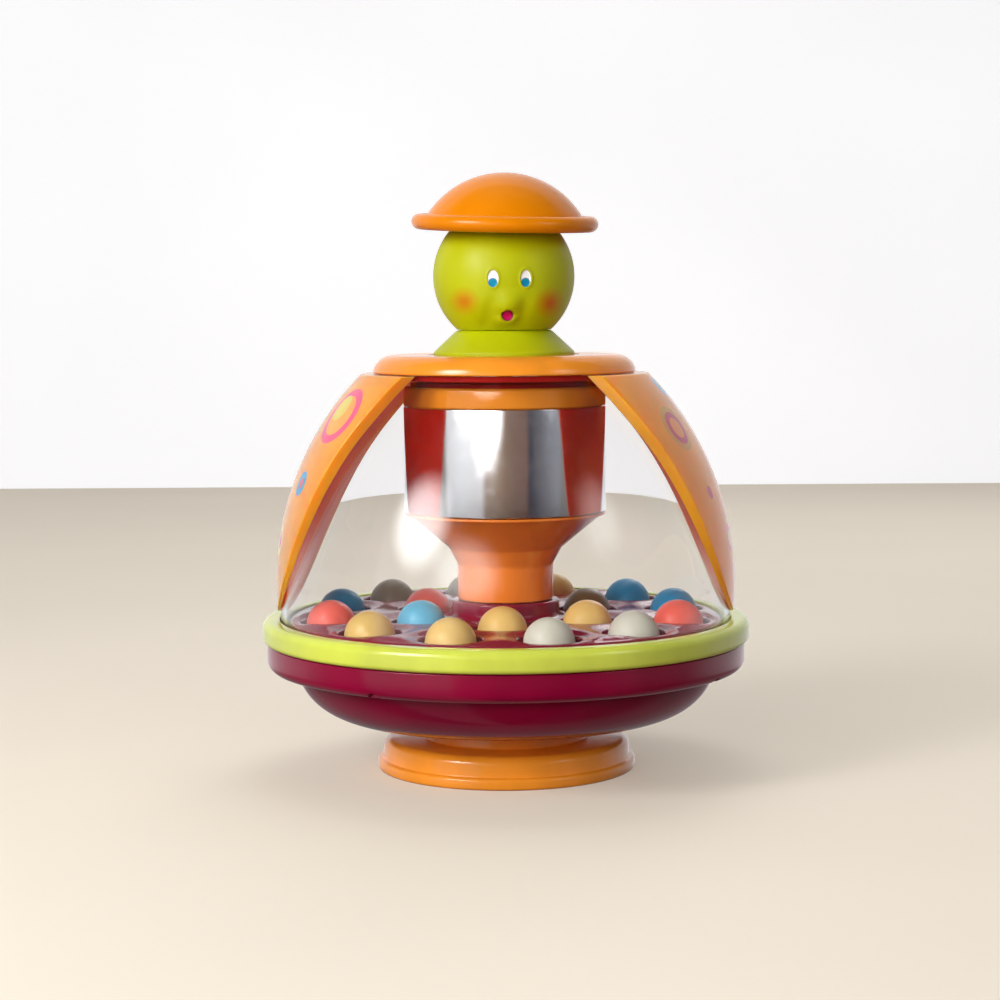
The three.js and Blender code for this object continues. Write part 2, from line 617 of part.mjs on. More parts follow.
/** Ring cap with a rounded shoulder, a collar round the neck's hole and a spigot in the dome. */
function topCap() {
  const lipR = CAP_R - CAP_ROUND;
  const underside = CAP_TOP_Z - CAP_WALL;
  const collarR = CAP_HOLE_R + CAP_COLLAR_WALL;
  const profile = [
    [lipR, CAP_Z],
    ...arc([lipR, CAP_Z], [CAP_ROUND, CAP_H], 0, 90, 4),
    [CAP_HOLE_R, CAP_TOP_Z],
    [CAP_HOLE_R, CAP_Z + SEAT_GAP],
    [collarR, CAP_Z + SEAT_GAP],
    [collarR, underside],
    [lipR - CAP_WALL, underside],
    [lipR, underside - CAP_WALL],
  ];
  return turned(profile, SIDES_LARGE);
}

/** Ring under the cap that centres it in the dome's top. */
function capRetainer() {
  const outerR = domeWall.radiusAt(DOME_TOP_Z, DOME_WALL) - SEAT_GAP;
  const topZ = CAP_Z - SEAT_GAP;
  const topR = outerR - RETAINER_WALL;
  const profile = [[topR, topZ - RETAINER_H], [outerR, topZ - RETAINER_H], [outerR, topZ], [topR, topZ]];
  return turned(profile, SIDES_LARGE);
}

/** Flanged post with a square bore down its upper part. */
function axleTube() {
  const flangeTop = AXLE_Z + AXLE_FLANGE_H;
  const profile = [
    [0, AXLE_Z],
    [AXLE_FLANGE_R, AXLE_Z],
    [AXLE_FLANGE_R, flangeTop],
    [AXLE_SHOULDER_R, flangeTop],
    [AXLE_SHOULDER_R, AXLE_SHOULDER_Z],
    [AXLE_R, AXLE_SHOULDER_Z],
    [AXLE_R, AXLE_TOP_Z],
    [0, AXLE_TOP_Z],
  ];
  const bore = squareBlock(ROD_FOOT_SIDE + 2 * RUN_GAP, SPRING_Z - SEAT_GAP, AXLE_TOP_Z + 1);
  const holes = pegs(footScrewPlaces, SCREW_HOLE_R, AXLE_Z - 1, flangeTop + 1);
  return shaped(turned(profile, SIDES_MEDIUM), [], [bore, ...holes]);
}

/** Plain ring between two radii and two heights. */
function plainRing(boreR, outerR, fromZ, toZ) {
  return turned([[boreR, fromZ], [outerR, fromZ], [outerR, toZ], [boreR, toZ]], SIDES_MEDIUM);
}

/** Push-on cap that keeps the turntable down and the rod's foot in its bore. */
function axleCap() {
  const gripR = AXLE_R + SEAT_GAP;
  const outerR = gripR + AXLE_CAP_WALL;
  const discZ = AXLE_TOP_Z + SEAT_GAP;
  const profile = [
    [gripR, AXLE_CAP_Z],
    [outerR, AXLE_CAP_Z],
    [outerR, discZ + AXLE_CAP_H],
    [ROD_HOLE_R, discZ + AXLE_CAP_H],
    [ROD_HOLE_R, discZ],
    [gripR, discZ],
  ];
  return turned(profile, SIDES_MEDIUM);
}

/** Bush with its flange under its sleeve, for the tray's hub. */
function lowerBush() {
  const flangeTop = LOWER_BUSH_Z + BUSH_FLANGE_H;
  const profile = [
    [BUSH_BORE_R, LOWER_BUSH_Z],
    [BUSH_FLANGE_R, LOWER_BUSH_Z],
    [BUSH_FLANGE_R, flangeTop],
    [BUSH_R, flangeTop],
    [BUSH_R, HUB_TOP_Z],
    [BUSH_BORE_R, HUB_TOP_Z],
  ];
  return turned(profile, SIDES_MEDIUM);
}

/** Bush with its flange over its sleeve, for the column's boss. */
function upperBush() {
  const flangeTop = UPPER_BUSH_FLANGE_Z + BUSH_FLANGE_H;
  const profile = [
    [BUSH_BORE_R, UPPER_BUSH_Z],
    [BUSH_R, UPPER_BUSH_Z],
    [BUSH_R, UPPER_BUSH_FLANGE_Z],
    [BUSH_FLANGE_R, UPPER_BUSH_FLANGE_Z],
    [BUSH_FLANGE_R, flangeTop],
    [BUSH_BORE_R, flangeTop],
  ];
  return turned(profile, SIDES_MEDIUM);
}

/** Middle points of the spring's wire. */
function springPath() {
  const steps = SPRING_TURNS * SPRING_STEPS;
  const rise = SPRING_LENGTH - 2 * SPRING_WIRE_R;
  return Array.from({ length: steps + 1 }, (_, i) => {
    const height = SPRING_Z + SPRING_WIRE_R + (rise * i) / steps;
    return around(SPRING_MEAN_R, (360 * i) / SPRING_STEPS, height);
  });
}

/** Least gap between the spring's wire and itself, measured between points of other turns. */
function springGap(path) {
  let least = Infinity;
  for (let i = 0; i < path.length; i++) {
    for (let j = i + SPRING_STEPS / 2; j < path.length; j++) {
      least = Math.min(least, path[i].distanceTo(path[j]) - 2 * SPRING_WIRE_R);
    }
  }
  return least;
}

/** Compression spring: one round wire wound up the bore, closed at both ends. */
function returnSpring() {
  const path = springPath();
  console.log(`least gap between the spring's turns: ${springGap(path).toFixed(2)} mm`);
  const points = [];
  for (const middle of path) {
    const out = new THREE.Vector3(middle.x, middle.y, 0).normalize();
    for (let side = 0; side < SPRING_SIDES; side++) {
      const angle = (2 * Math.PI * side) / SPRING_SIDES;
      const point = middle.clone().addScaledVector(out, SPRING_WIRE_R * Math.cos(angle));
      point.z += SPRING_WIRE_R * Math.sin(angle);
      points.push(point.toArray());
    }
  }
  const triangles = [];
  for (let ring = 0; ring + 1 < path.length; ring++) {
    for (let side = 0; side < SPRING_SIDES; side++) {
      const beside = (side + 1) % SPRING_SIDES;
      const a = ring * SPRING_SIDES + side;
      const b = ring * SPRING_SIDES + beside;
      triangles.push([a, a + SPRING_SIDES, b], [b, a + SPRING_SIDES, b + SPRING_SIDES]);
    }
  }
  const last = (path.length - 1) * SPRING_SIDES;
  for (let side = 1; side + 1 < SPRING_SIDES; side++) {
    triangles.push([0, side, side + 1], [last, last + side + 1, last + side]);
  }
  return facets(points, triangles);
}

/** Turntable plate with a hub, a lipped edge and a round cup for every ball. */
function ballTray() {
  const hubWallR = HUB_R - HUB_WALL;
  const sleeveR = BUSH_SEAT_R + HUB_WALL;
  const hubPlateZ = HUB_TOP_Z - HUB_PLATE_H;
  const lipZ = TRAY_PLATE_Z - TRAY_LIP;
  const profile = [
    [BUSH_SEAT_R, HUB_Z],
    [sleeveR, HUB_Z],
    [sleeveR, hubPlateZ],
    [hubWallR, hubPlateZ],
    [hubWallR, TRAY_PLATE_Z],
    [TRAY_R - TRAY_LIP, TRAY_PLATE_Z],
    [TRAY_R - TRAY_LIP, lipZ],
    [TRAY_R, lipZ],
    [TRAY_R, TRAY_TOP_Z],
    [HUB_R + HUB_FLARE, TRAY_TOP_Z],
    [HUB_R, TRAY_TOP_Z + HUB_FLARE],
    [HUB_R, HUB_TOP_Z],
    [BUSH_SEAT_R, HUB_TOP_Z],
  ];
  const ballBottom = BALL_Z - BALL_R - SEAT_GAP;
  const pocketMiddle = ballBottom + POCKET_R;
  const rise = Math.min((TRAY_TOP_Z - pocketMiddle) / POCKET_R, 0);
  const rimDeg = THREE.MathUtils.radToDeg(Math.asin(rise));
  const dish = (radius, topZ, place) => {
    const bend = arc([0, pocketMiddle], [radius, radius], -90, rimDeg, 3);
    const profileOfDish = [...bend, [bend.at(-1)[0], topZ], [0, topZ]];
    return turned(profileOfDish, SIDES_SMALL).translate(place.x, place.y, 0);
  };
  const cups = ballPlaces.map((place) => dish(POCKET_R + POCKET_WALL, TRAY_TOP_Z - SEAT_GAP, place));
  const hollows = ballPlaces.map((place) => dish(POCKET_R, TRAY_TOP_Z + BALL_R, place));
  const holes = pegs(columnScrewPlaces, COLUMN_SCREW_HOLE_R, hubPlateZ - 1, HUB_TOP_Z + 1);
  return shaped(turned(profile, SIDES_LARGE), cups, [...hollows, ...holes]);
}

/** Funnel that carries the drum: a straight foot, a bulge, a cone and a boss for the bush. */
function column() {
  const boreR = COLUMN_R - COLUMN_WALL;
  const straightZ = COLUMN_Z + COLUMN_STRAIGHT_H;
  const bulgeZ = COLUMN_Z + COLUMN_BULGE_H;
  const rimZ = COLUMN_TOP_Z - COLUMN_RIM_H;
  const plateZ = COLUMN_TOP_Z - COLUMN_PLATE_H;
  const floorTop = COLUMN_Z + COLUMN_FLOOR_H;
  const waistZ = (straightZ + bulgeZ) / 2;
  const waistR = COLUMN_R + (COLUMN_BULGE_R - COLUMN_R) / 3;
  const profile = [
    [BUSH_SEAT_R, COLUMN_Z],
    [COLUMN_R, COLUMN_Z],
    [COLUMN_R, straightZ],
    [waistR, waistZ],
    [COLUMN_BULGE_R, bulgeZ],
    [SPIGOT_R, rimZ],
    [DRUM_R, rimZ],
    [DRUM_R, COLUMN_TOP_Z],
    [BUSH_SEAT_R, COLUMN_TOP_Z],
    [BUSH_SEAT_R, plateZ],
    [SPIGOT_BORE_R - COLUMN_WALL, plateZ],
    [COLUMN_BULGE_R - COLUMN_WALL, bulgeZ],
    [waistR - COLUMN_WALL, waistZ],
    [boreR, straightZ],
    [boreR, floorTop],
    [BUSH_SEAT_R, floorTop],
  ];
  const holes = pegs(columnScrewPlaces, COLUMN_SCREW_HOLE_R, COLUMN_Z - 1, floorTop + 1);
  return shaped(turned(profile, SIDES_MEDIUM), [], holes);
}

/** Drum lid with a spigot in the sleeve, a seat for its disc and a rod hole. */
function drumCap() {
  const seatR = DRUM_R - DRUM_DISC_EDGE;
  const edge = [DRUM_R - DRUM_CAP_ROUND, DRUM_CAP_TOP_Z - DRUM_CAP_ROUND];
  const profile = [
    [SPIGOT_R, DRUM_CAP_Z],
    [DRUM_R, DRUM_CAP_Z],
    ...arc(edge, [DRUM_CAP_ROUND, DRUM_CAP_ROUND], 0, 90, 2),
    [seatR, DRUM_CAP_TOP_Z],
    [seatR, DRUM_PLATE_TOP_Z],
    [ROD_HOLE_R, DRUM_PLATE_TOP_Z],
    [ROD_HOLE_R, DRUM_PLATE_Z],
    [SPIGOT_BORE_R, DRUM_PLATE_Z],
    [SPIGOT_BORE_R, DRUM_CAP_Z - SPIGOT_H],
    [SPIGOT_R, DRUM_CAP_Z - SPIGOT_H],
  ];
  return turned(profile, SIDES_MEDIUM);
}

/** Housing under the drum lid for nut and clutch. */
function clutchHousing() {
  const outerR = CLUTCH_SEAT_R + NUT_HOUSING_WALL;
  const seatZ = CLUTCH_TOP_Z + SEAT_GAP;
  const topZ = DRUM_PLATE_Z - SEAT_GAP;
  const profile = [
    [CLUTCH_SEAT_R, CLUTCH_Z],
    [outerR, CLUTCH_Z],
    [outerR, topZ],
    [ROD_HOLE_R, topZ],
    [ROD_HOLE_R, DRUM_CAP_Z],
    [NUT_ROOM_R, DRUM_CAP_Z],
    [NUT_ROOM_R, seatZ],
    [CLUTCH_SEAT_R, seatZ],
  ];
  return turned(profile, SIDES_MEDIUM);
}

/** One ratchet tooth: a wedge between two angles, sunk a little in its base, steep at one end. */
function ratchetTooth(fromDeg, toDeg, baseZ, tipZ, steepAtStart) {
  const sunkZ = baseZ - Math.sign(tipZ - baseZ) * SEAT_GAP;
  const steepDeg = steepAtStart ? fromDeg : toDeg;
  const thinDeg = steepAtStart ? toDeg : fromDeg;
  const points = [
    around(TOOTH_INNER_R, thinDeg, sunkZ),
    around(NUT_R, thinDeg, sunkZ),
    around(TOOTH_INNER_R, steepDeg, sunkZ),
    around(NUT_R, steepDeg, sunkZ),
    around(TOOTH_INNER_R, steepDeg, tipZ),
    around(NUT_R, steepDeg, tipZ),
  ];
  const triangles = [[0, 1, 3], [0, 3, 2], [2, 3, 5], [2, 5, 4], [0, 4, 5], [0, 5, 1], [0, 2, 4], [1, 5, 3]];
  const facingOut = steepAtStart === tipZ > baseZ;
  const outward = facingOut ? triangles : triangles.map(([a, b, c]) => [a, c, b]);
  return facets(points.map((point) => point.toArray()), outward);
}

/** A ring of ratchet teeth on a face at one height. */
function ratchetTeeth(baseZ, tipZ, steepAtStart) {
  const pitch = 360 / TOOTH_COUNT;
  return Array.from({ length: TOOTH_COUNT }, (_, i) =>
    ratchetTooth(i * pitch, (i + 0.9) * pitch, baseZ, tipZ, steepAtStart),
  );
}

/** The rod's turn at a height: a right-handed twist between two straight ends. */
function twistAt(z) {
  const share = THREE.MathUtils.clamp((TWIST_TOP_Z - z) / (TWIST_TOP_Z - TWIST_Z), 0, 1);
  return -2 * Math.PI * TWIST_TURNS * share;
}

/** A square bar that follows the rod's twist between two heights. */
function twistedBar(side, fromZ, toZ) {
  const step = (TWIST_TOP_Z - TWIST_Z) / TWIST_STEPS;
  const heights = [fromZ];
  for (let i = 0; i <= TWIST_STEPS; i++) {
    const z = TWIST_Z + step * i;
    if (z > fromZ && z < toZ) heights.push(z);
  }
  heights.push(toZ);
  const corner = (side / 2) * Math.SQRT2;
  const points = [];
  for (const z of heights) {
    for (let i = 0; i < 4; i++) {
      const angle = twistAt(z) + Math.PI / 4 + (Math.PI / 2) * i;
      points.push([corner * Math.cos(angle), corner * Math.sin(angle), z]);
    }
  }
  const triangles = [[0, 2, 1], [0, 3, 2]];
  for (let ring = 0; ring + 1 < heights.length; ring++) {
    for (let i = 0; i < 4; i++) {
      const a = 4 * ring + i;
      const b = 4 * ring + ((i + 1) % 4);
      triangles.push([a, b, b + 4], [a, b + 4, a + 4]);
    }
  }
  const top = 4 * (heights.length - 1);
  triangles.push([top, top + 1, top + 2], [top, top + 2, top + 3]);
  return facets(points, triangles);
}

/** A pin hole or pin along X through the rod's foot. */
function crossPin(radius, length) {
  const pin = new THREE.CylinderGeometry(radius, radius, length, SIDES_SMALL);
  return pin.rotateZ(Math.PI / 2).translate(0, 0, (ROD_Z + ROD_FOOT_TOP_Z) / 2);
}

/** Twisted bar with a pilot hole for the head's screw and a cross hole for the foot's pin. */
function pushRod() {
  const pilot = pegs([new THREE.Vector3()], SCREW_HOLE_R, NECK_Z - SEAT_GAP, ROD_TOP_Z + 1);
  const pinHole = crossPin(FOOT_PIN_R + SEAT_GAP, 2 * ROD_SIDE);
  return shaped(twistedBar(ROD_SIDE, ROD_Z, ROD_TOP_Z), [], [...pilot, pinHole]);
}

/** Square guide block with a socket for the rod's lower end. */
function rodFoot() {
  const socket = squareBlock(ROD_SIDE + 2 * SEAT_GAP, ROD_FOOT_Z + ROD_FOOT_FLOOR, ROD_FOOT_TOP_Z + 1);
  const pinHole = crossPin(FOOT_PIN_R + SEAT_GAP, 2 * ROD_FOOT_SIDE);
  return shaped(squareBlock(ROD_FOOT_SIDE, ROD_FOOT_Z, ROD_FOOT_TOP_Z), [], [socket, pinHole]);
}

/** Nut with a bore that follows the twist and ratchet teeth under it. */
function driveNut() {
  const body = turned([[0, NUT_Z], [NUT_R, NUT_Z], [NUT_R, NUT_TOP_Z], [0, NUT_TOP_Z]], SIDES_MEDIUM);
  const bore = twistedBar(ROD_SIDE + 2 * NUT_BORE_GAP, CLUTCH_Z, DRUM_CAP_TOP_Z);
  return shaped(body, ratchetTeeth(NUT_Z, NUT_Z - TOOTH_H, false), [bore]);
}

/** Ring in the drum's lid with ratchet teeth on top. */
function clutchRing() {
  const body = plainRing(ROD_HOLE_R, CLUTCH_R, CLUTCH_Z, CLUTCH_TOP_Z);
  return shaped(body, ratchetTeeth(CLUTCH_TOP_Z, CLUTCH_TOP_Z + TOOTH_H, true), []);
}

/** Hollow collar under the head, with a square socket for the rod. */
function neckCone() {
  const ceiling = NECK_TOP_Z - NECK_WALL;
  const profile = [
    [0, NECK_Z],
    [NECK_BOSS_R, NECK_Z],
    [NECK_BOSS_R, ceiling],
    [NECK_TOP_R - NECK_WALL, ceiling],
    [NECK_R - NECK_WALL, NECK_Z + NECK_LIP_H],
    [NECK_R - NECK_WALL, NECK_Z],
    [NECK_R, NECK_Z],
    [NECK_R, NECK_Z + NECK_LIP_H],
    [NECK_SHOULDER_R, NECK_Z + NECK_SHOULDER_H],
    [NECK_TOP_R, NECK_TOP_Z],
    [0, NECK_TOP_Z],
  ];
  const socket = squareBlock(ROD_SIDE + 2 * SEAT_GAP, NECK_Z - 1, NECK_TOP_Z + 1);
  return shaped(turned(profile, SIDES_MEDIUM), [], [socket]);
}

/** Hollow ball with a flat foot, an opening under the hat and a small muzzle in front. */
function head() {
  const middle = [0, HEAD_MIDDLE_Z];
  const innerR = HEAD_R - HEAD_WALL;
  const degreesOf = (radius, ball) => THREE.MathUtils.radToDeg(Math.acos(radius / ball));
  const floorDrop = HEAD_MIDDLE_Z - HEAD_FLOOR_Z;
  const floorDeg = -THREE.MathUtils.radToDeg(Math.asin(floorDrop / innerR));
  const profile = [
    [SCREW_HOLE_R, HEAD_Z],
    ...arc(middle, [HEAD_R, HEAD_R], -degreesOf(HEAD_FOOT_R, HEAD_R), degreesOf(HEAD_RIM_R, HEAD_R), 7),
    ...arc(middle, [innerR, innerR], degreesOf(HEAD_OPENING_R, innerR), floorDeg, 5),
    [SCREW_HOLE_R, HEAD_FLOOR_Z],
  ];
  const muzzleZ = HEAD_MIDDLE_Z - MUZZLE_DROP;
  const muzzleR = Math.sqrt(HEAD_R ** 2 - MUZZLE_DROP ** 2);
  const place = around(muzzleR, FACE_TURN_DEG, muzzleZ);
  const muzzle = new THREE.SphereGeometry(1, SIDES_SMALL, 6)
    .scale(MUZZLE_HALF_WIDTH, MUZZLE_HALF_DEPTH, MUZZLE_HALF_HEIGHT)
    .translate(place.x, place.y, place.z);
  return shaped(turned(profile, SIDES_MEDIUM), [muzzle], []);
}

/** Hat shell from its lower edge up: a rolled brim and a round crown. */
function hat() {
  const crownZ = 2 * BRIM_ROLL;
  const crownRise = HAT_H - crownZ;
  const crownBall = (CROWN_R ** 2 + crownRise ** 2) / (2 * crownRise);
  const middle = [0, HAT_H - crownBall];
  const innerBall = crownBall - HAT_WALL;
  const edgeDeg = THREE.MathUtils.radToDeg(Math.acos(CROWN_R / crownBall));
  const innerDeg = THREE.MathUtils.radToDeg(Math.asin((CROWN_INNER_DROP - middle[1]) / innerBall));
  const profile = [
    ...arc(middle, [innerBall, innerBall], 90, innerDeg, 3).with(0, [0, HAT_H - HAT_WALL]),
    [HAT_SEAT_R, HAT_SEAT_H],
    [HAT_SEAT_R, 0],
    ...arc([BRIM_R - BRIM_ROLL, BRIM_ROLL], [BRIM_ROLL, BRIM_ROLL], -90, 90, 5),
    ...arc(middle, [crownBall, crownBall], edgeDeg, 90, 4).with(-1, [0, HAT_H]),
  ];
  return turned(profile, SIDES_MEDIUM);
}

// Places shared by screws, holes, balls and pockets
const footScrewPlaces = onCircle(SCREW_COUNT, FOOT_SCREW_CIRCLE, 0, FOOT_H - FOOT_PLATE_H - SEAT_GAP);
const bandScrewPlaces = onCircle(
  SCREW_COUNT, BAND_SCREW_CIRCLE, BAND_SCREW_FIRST_DEG, BAND_Z + BAND_WALL + SEAT_GAP,
);
const columnScrewPlaces = onCircle(
  SCREW_COUNT, COLUMN_SCREW_CIRCLE, 0, HUB_TOP_Z - HUB_PLATE_H - SEAT_GAP,
);
const ballPlaces = [
  ...onCircle(OUTER_BALLS, OUTER_BALL_CIRCLE, OUTER_FIRST_DEG, BALL_Z),
  ...onCircle(INNER_BALLS, INNER_BALL_CIRCLE, INNER_FIRST_DEG, BALL_Z),
];
const ballFinishes = [...OUTER_FINISHES, ...INNER_FINISHES];

const toy = new THREE.Group();

/** Adds a named piece to the toy, or to a group inside it. */
function add(name, geometry, finish, parent = toy) {
  const mesh = new THREE.Mesh(geometry, new THREE.MeshStandardMaterial(finish));
  mesh.name = name;
  parent.add(mesh);
  return mesh;
}

/** Adds one screw at each place, turned over where its head is below. */
function addScrews(name, geometry, places, headBelow) {
  places.forEach((place, i) => {
    const mesh = add(`${name}_${i + 1}`, geometry, STEEL);
    mesh.position.copy(place);
    if (headBelow) mesh.rotation.x = Math.PI;
  });
}

// Housing
add("base_foot", baseFoot(), ORANGE);
add("lower_bowl", lowerBowl(), MAROON);
add("upper_band", upperBand(), MAROON);
add("rim_ring", rimRing(), RING_LIME);
add("clear_dome", clearDome(), CLEAR);
add("left_panel", sidePanel(PANEL_TURN_DEG - 90), ORANGE);
add("right_panel", sidePanel(PANEL_TURN_DEG + 90), ORANGE);
add("top_cap", topCap(), ORANGE);
add("cap_retainer", capRetainer(), MAROON);
add("axle_tube", axleTube(), NYLON);
add("thrust_washer", plainRing(BUSH_BORE_R, BUSH_FLANGE_R, WASHER_Z, WASHER_Z + WASHER_H), STEEL);
add("axle_cap", axleCap(), NYLON);
add("return_spring", returnSpring(), STEEL);
const footScrewLength = AXLE_Z + AXLE_FLANGE_H - SCREW_TIP_GAP - footScrewPlaces[0].z;
addScrews("foot_screw", screw(footScrewLength, SCREW_R, SCREW_HEAD_R), footScrewPlaces, true);
const bandScrewLength = bandScrewPlaces[0].z - (BOWL_TOP_Z - BAND_BOSS_H) - SCREW_TIP_GAP;
addScrews("band_screw", screw(bandScrewLength, SCREW_R, SCREW_HEAD_R), bandScrewPlaces, false);

// Turntable
add("ball_tray", ballTray(), MAROON);
add("lower_bush", lowerBush(), NYLON);
add("column", column(), ORANGE);
const drumFloorZ = COLUMN_TOP_Z + SEAT_GAP;
add("drum_seat", plainRing(SPIGOT_BORE_R, SPIGOT_R, drumFloorZ, COLUMN_TOP_Z + SPIGOT_H), ORANGE);
add("drum_hub", plainRing(BUSH_SEAT_R, DRUM_HUB_R, drumFloorZ, COLUMN_BOSS_Z), ORANGE);
add("upper_bush", upperBush(), NYLON);
add("mirror_sleeve", plainRing(SLEEVE_BORE_R, DRUM_R, SLEEVE_Z, SLEEVE_TOP_Z), MIRROR);
add("drum_cap", drumCap(), ORANGE);
add("drum_disc", plainRing(ROD_HOLE_R, DRUM_DISC_R, DRUM_DISC_Z, DRUM_DISC_TOP_Z), MAROON);
add("clutch_housing", clutchHousing(), NYLON);
add("clutch_ring", clutchRing(), NYLON);
const columnScrewLength = COLUMN_Z + COLUMN_FLOOR_H - SCREW_TIP_GAP - columnScrewPlaces[0].z;
const columnScrew = screw(columnScrewLength, COLUMN_SCREW_R, COLUMN_SCREW_HEAD_R);
addScrews("column_screw", columnScrew, columnScrewPlaces, true);

// Nut between the rod and the clutch
add("drive_nut", driveNut(), NYLON);

// Plunger: everything that goes down when the head is pressed
add("neck_cone", neckCone(), LIME);
add("head", head(), LIME);
add("push_rod", pushRod(), ORANGE);
add("rod_foot", rodFoot(), NYLON);
add("foot_pin", crossPin(FOOT_PIN_R, ROD_FOOT_SIDE - 2 * SEAT_GAP), STEEL);
const headScrewLength = HEAD_FLOOR_Z + SEAT_GAP - NECK_Z - SCREW_TIP_GAP;
const headScrew = add("head_screw", screw(headScrewLength, SCREW_R, SCREW_HEAD_R), STEEL);
headScrew.position.z = HEAD_FLOOR_Z + SEAT_GAP;
const hatSeat = new THREE.Group();
hatSeat.position.z = HEAD_MIDDLE_Z;
hatSeat.rotation.x = THREE.MathUtils.degToRad(HAT_NOD_DEG);
hatSeat.rotation.y = THREE.MathUtils.degToRad(HAT_LEAN_DEG);
toy.add(hatSeat);
add("hat", hat(), HAT_ORANGE, hatSeat).position.z = HAT_SEAT_RISE;

// Balls
ballPlaces.forEach((place, i) => {
  const ball = new THREE.SphereGeometry(BALL_R, SIDES_SMALL, 6).rotateX(Math.PI / 2);
  add(`ball_${String(i + 1).padStart(2, "0")}`, ball, ballFinishes[i]).position.copy(place);
});

export default toy;
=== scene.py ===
"""Looks of a press-and-spin ball popper toy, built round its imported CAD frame.

A footed bowl carries a clear dome with two printed petals. Under the dome a tray of loose balls
turns with a mirrored drum, and a doll's head on a twisted rod is pressed down to spin it.
Sizes in the classes are millimetres in the CAD frame: +Z up, front towards -Y, azimuth measured
from the front towards +X. Blender's objects are in metres.
"""

import json
import logging
import math
from dataclasses import dataclass, field
from enum import Enum
from typing import ClassVar

import bpy
import numpy as np
from mathutils import Matrix, Vector, geometry

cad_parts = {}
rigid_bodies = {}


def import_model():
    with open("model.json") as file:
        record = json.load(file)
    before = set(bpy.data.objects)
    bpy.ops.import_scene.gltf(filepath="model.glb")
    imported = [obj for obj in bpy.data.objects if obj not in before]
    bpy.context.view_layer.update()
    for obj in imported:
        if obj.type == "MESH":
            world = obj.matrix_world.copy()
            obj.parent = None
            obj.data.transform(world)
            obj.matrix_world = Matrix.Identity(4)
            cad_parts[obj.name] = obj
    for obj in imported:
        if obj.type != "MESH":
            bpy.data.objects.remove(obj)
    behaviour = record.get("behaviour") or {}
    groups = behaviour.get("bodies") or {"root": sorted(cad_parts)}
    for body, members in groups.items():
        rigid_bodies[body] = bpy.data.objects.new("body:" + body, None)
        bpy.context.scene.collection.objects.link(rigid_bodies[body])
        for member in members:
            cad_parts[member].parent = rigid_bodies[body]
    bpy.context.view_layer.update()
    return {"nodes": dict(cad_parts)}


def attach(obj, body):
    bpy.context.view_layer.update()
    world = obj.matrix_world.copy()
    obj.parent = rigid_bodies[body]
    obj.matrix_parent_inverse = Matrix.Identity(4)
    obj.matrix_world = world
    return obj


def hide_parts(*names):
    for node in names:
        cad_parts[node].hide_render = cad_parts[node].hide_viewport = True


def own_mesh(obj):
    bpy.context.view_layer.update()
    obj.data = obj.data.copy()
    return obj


LOG = logging.getLogger("ball_popper")
MM = 0.001
SHARP_DEG = 32.0
Corner = tuple[float, float, float]
Colour = tuple[int, int, int]
Point = tuple[float, float, float]
Range = tuple[float, float]
Socket = bpy.types.NodeSocket


class Slot(Enum):
    """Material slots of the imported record."""

    ORANGE = "orange"
    HAT = "hat_orange"
    LIME = "lime"
    RING = "ring_lime"
    MAROON = "maroon"
    CLEAR = "clear"
    MIRROR = "mirror"
    STEEL = "steel"
    NYLON = "nylon"
    BALL_YELLOW = "ball_yellow"
    BALL_WHITE = "ball_white"
    BALL_CORAL = "ball_coral"
    BALL_SKY = "ball_sky"
    BALL_BLUE = "ball_blue"
    BALL_OLIVE = "ball_olive"


class Body(Enum):
    """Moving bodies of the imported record."""

    HOUSING = "housing"
    TURNTABLE = "turntable"
    PLUNGER = "plunger"


class Ink(Enum):
    """Colours of the rings and dots printed on the petals."""

    PINK = (238, 82, 122)
    ROSE = (196, 74, 104)
    YELLOW = (222, 192, 78)
    BLUE = (40, 150, 196)
    OLIVE = (206, 148, 62)
    APRICOT = (246, 158, 62)
    AMBER = (238, 140, 64)


Spot = tuple[float, float, float, Ink]


# Surfaces


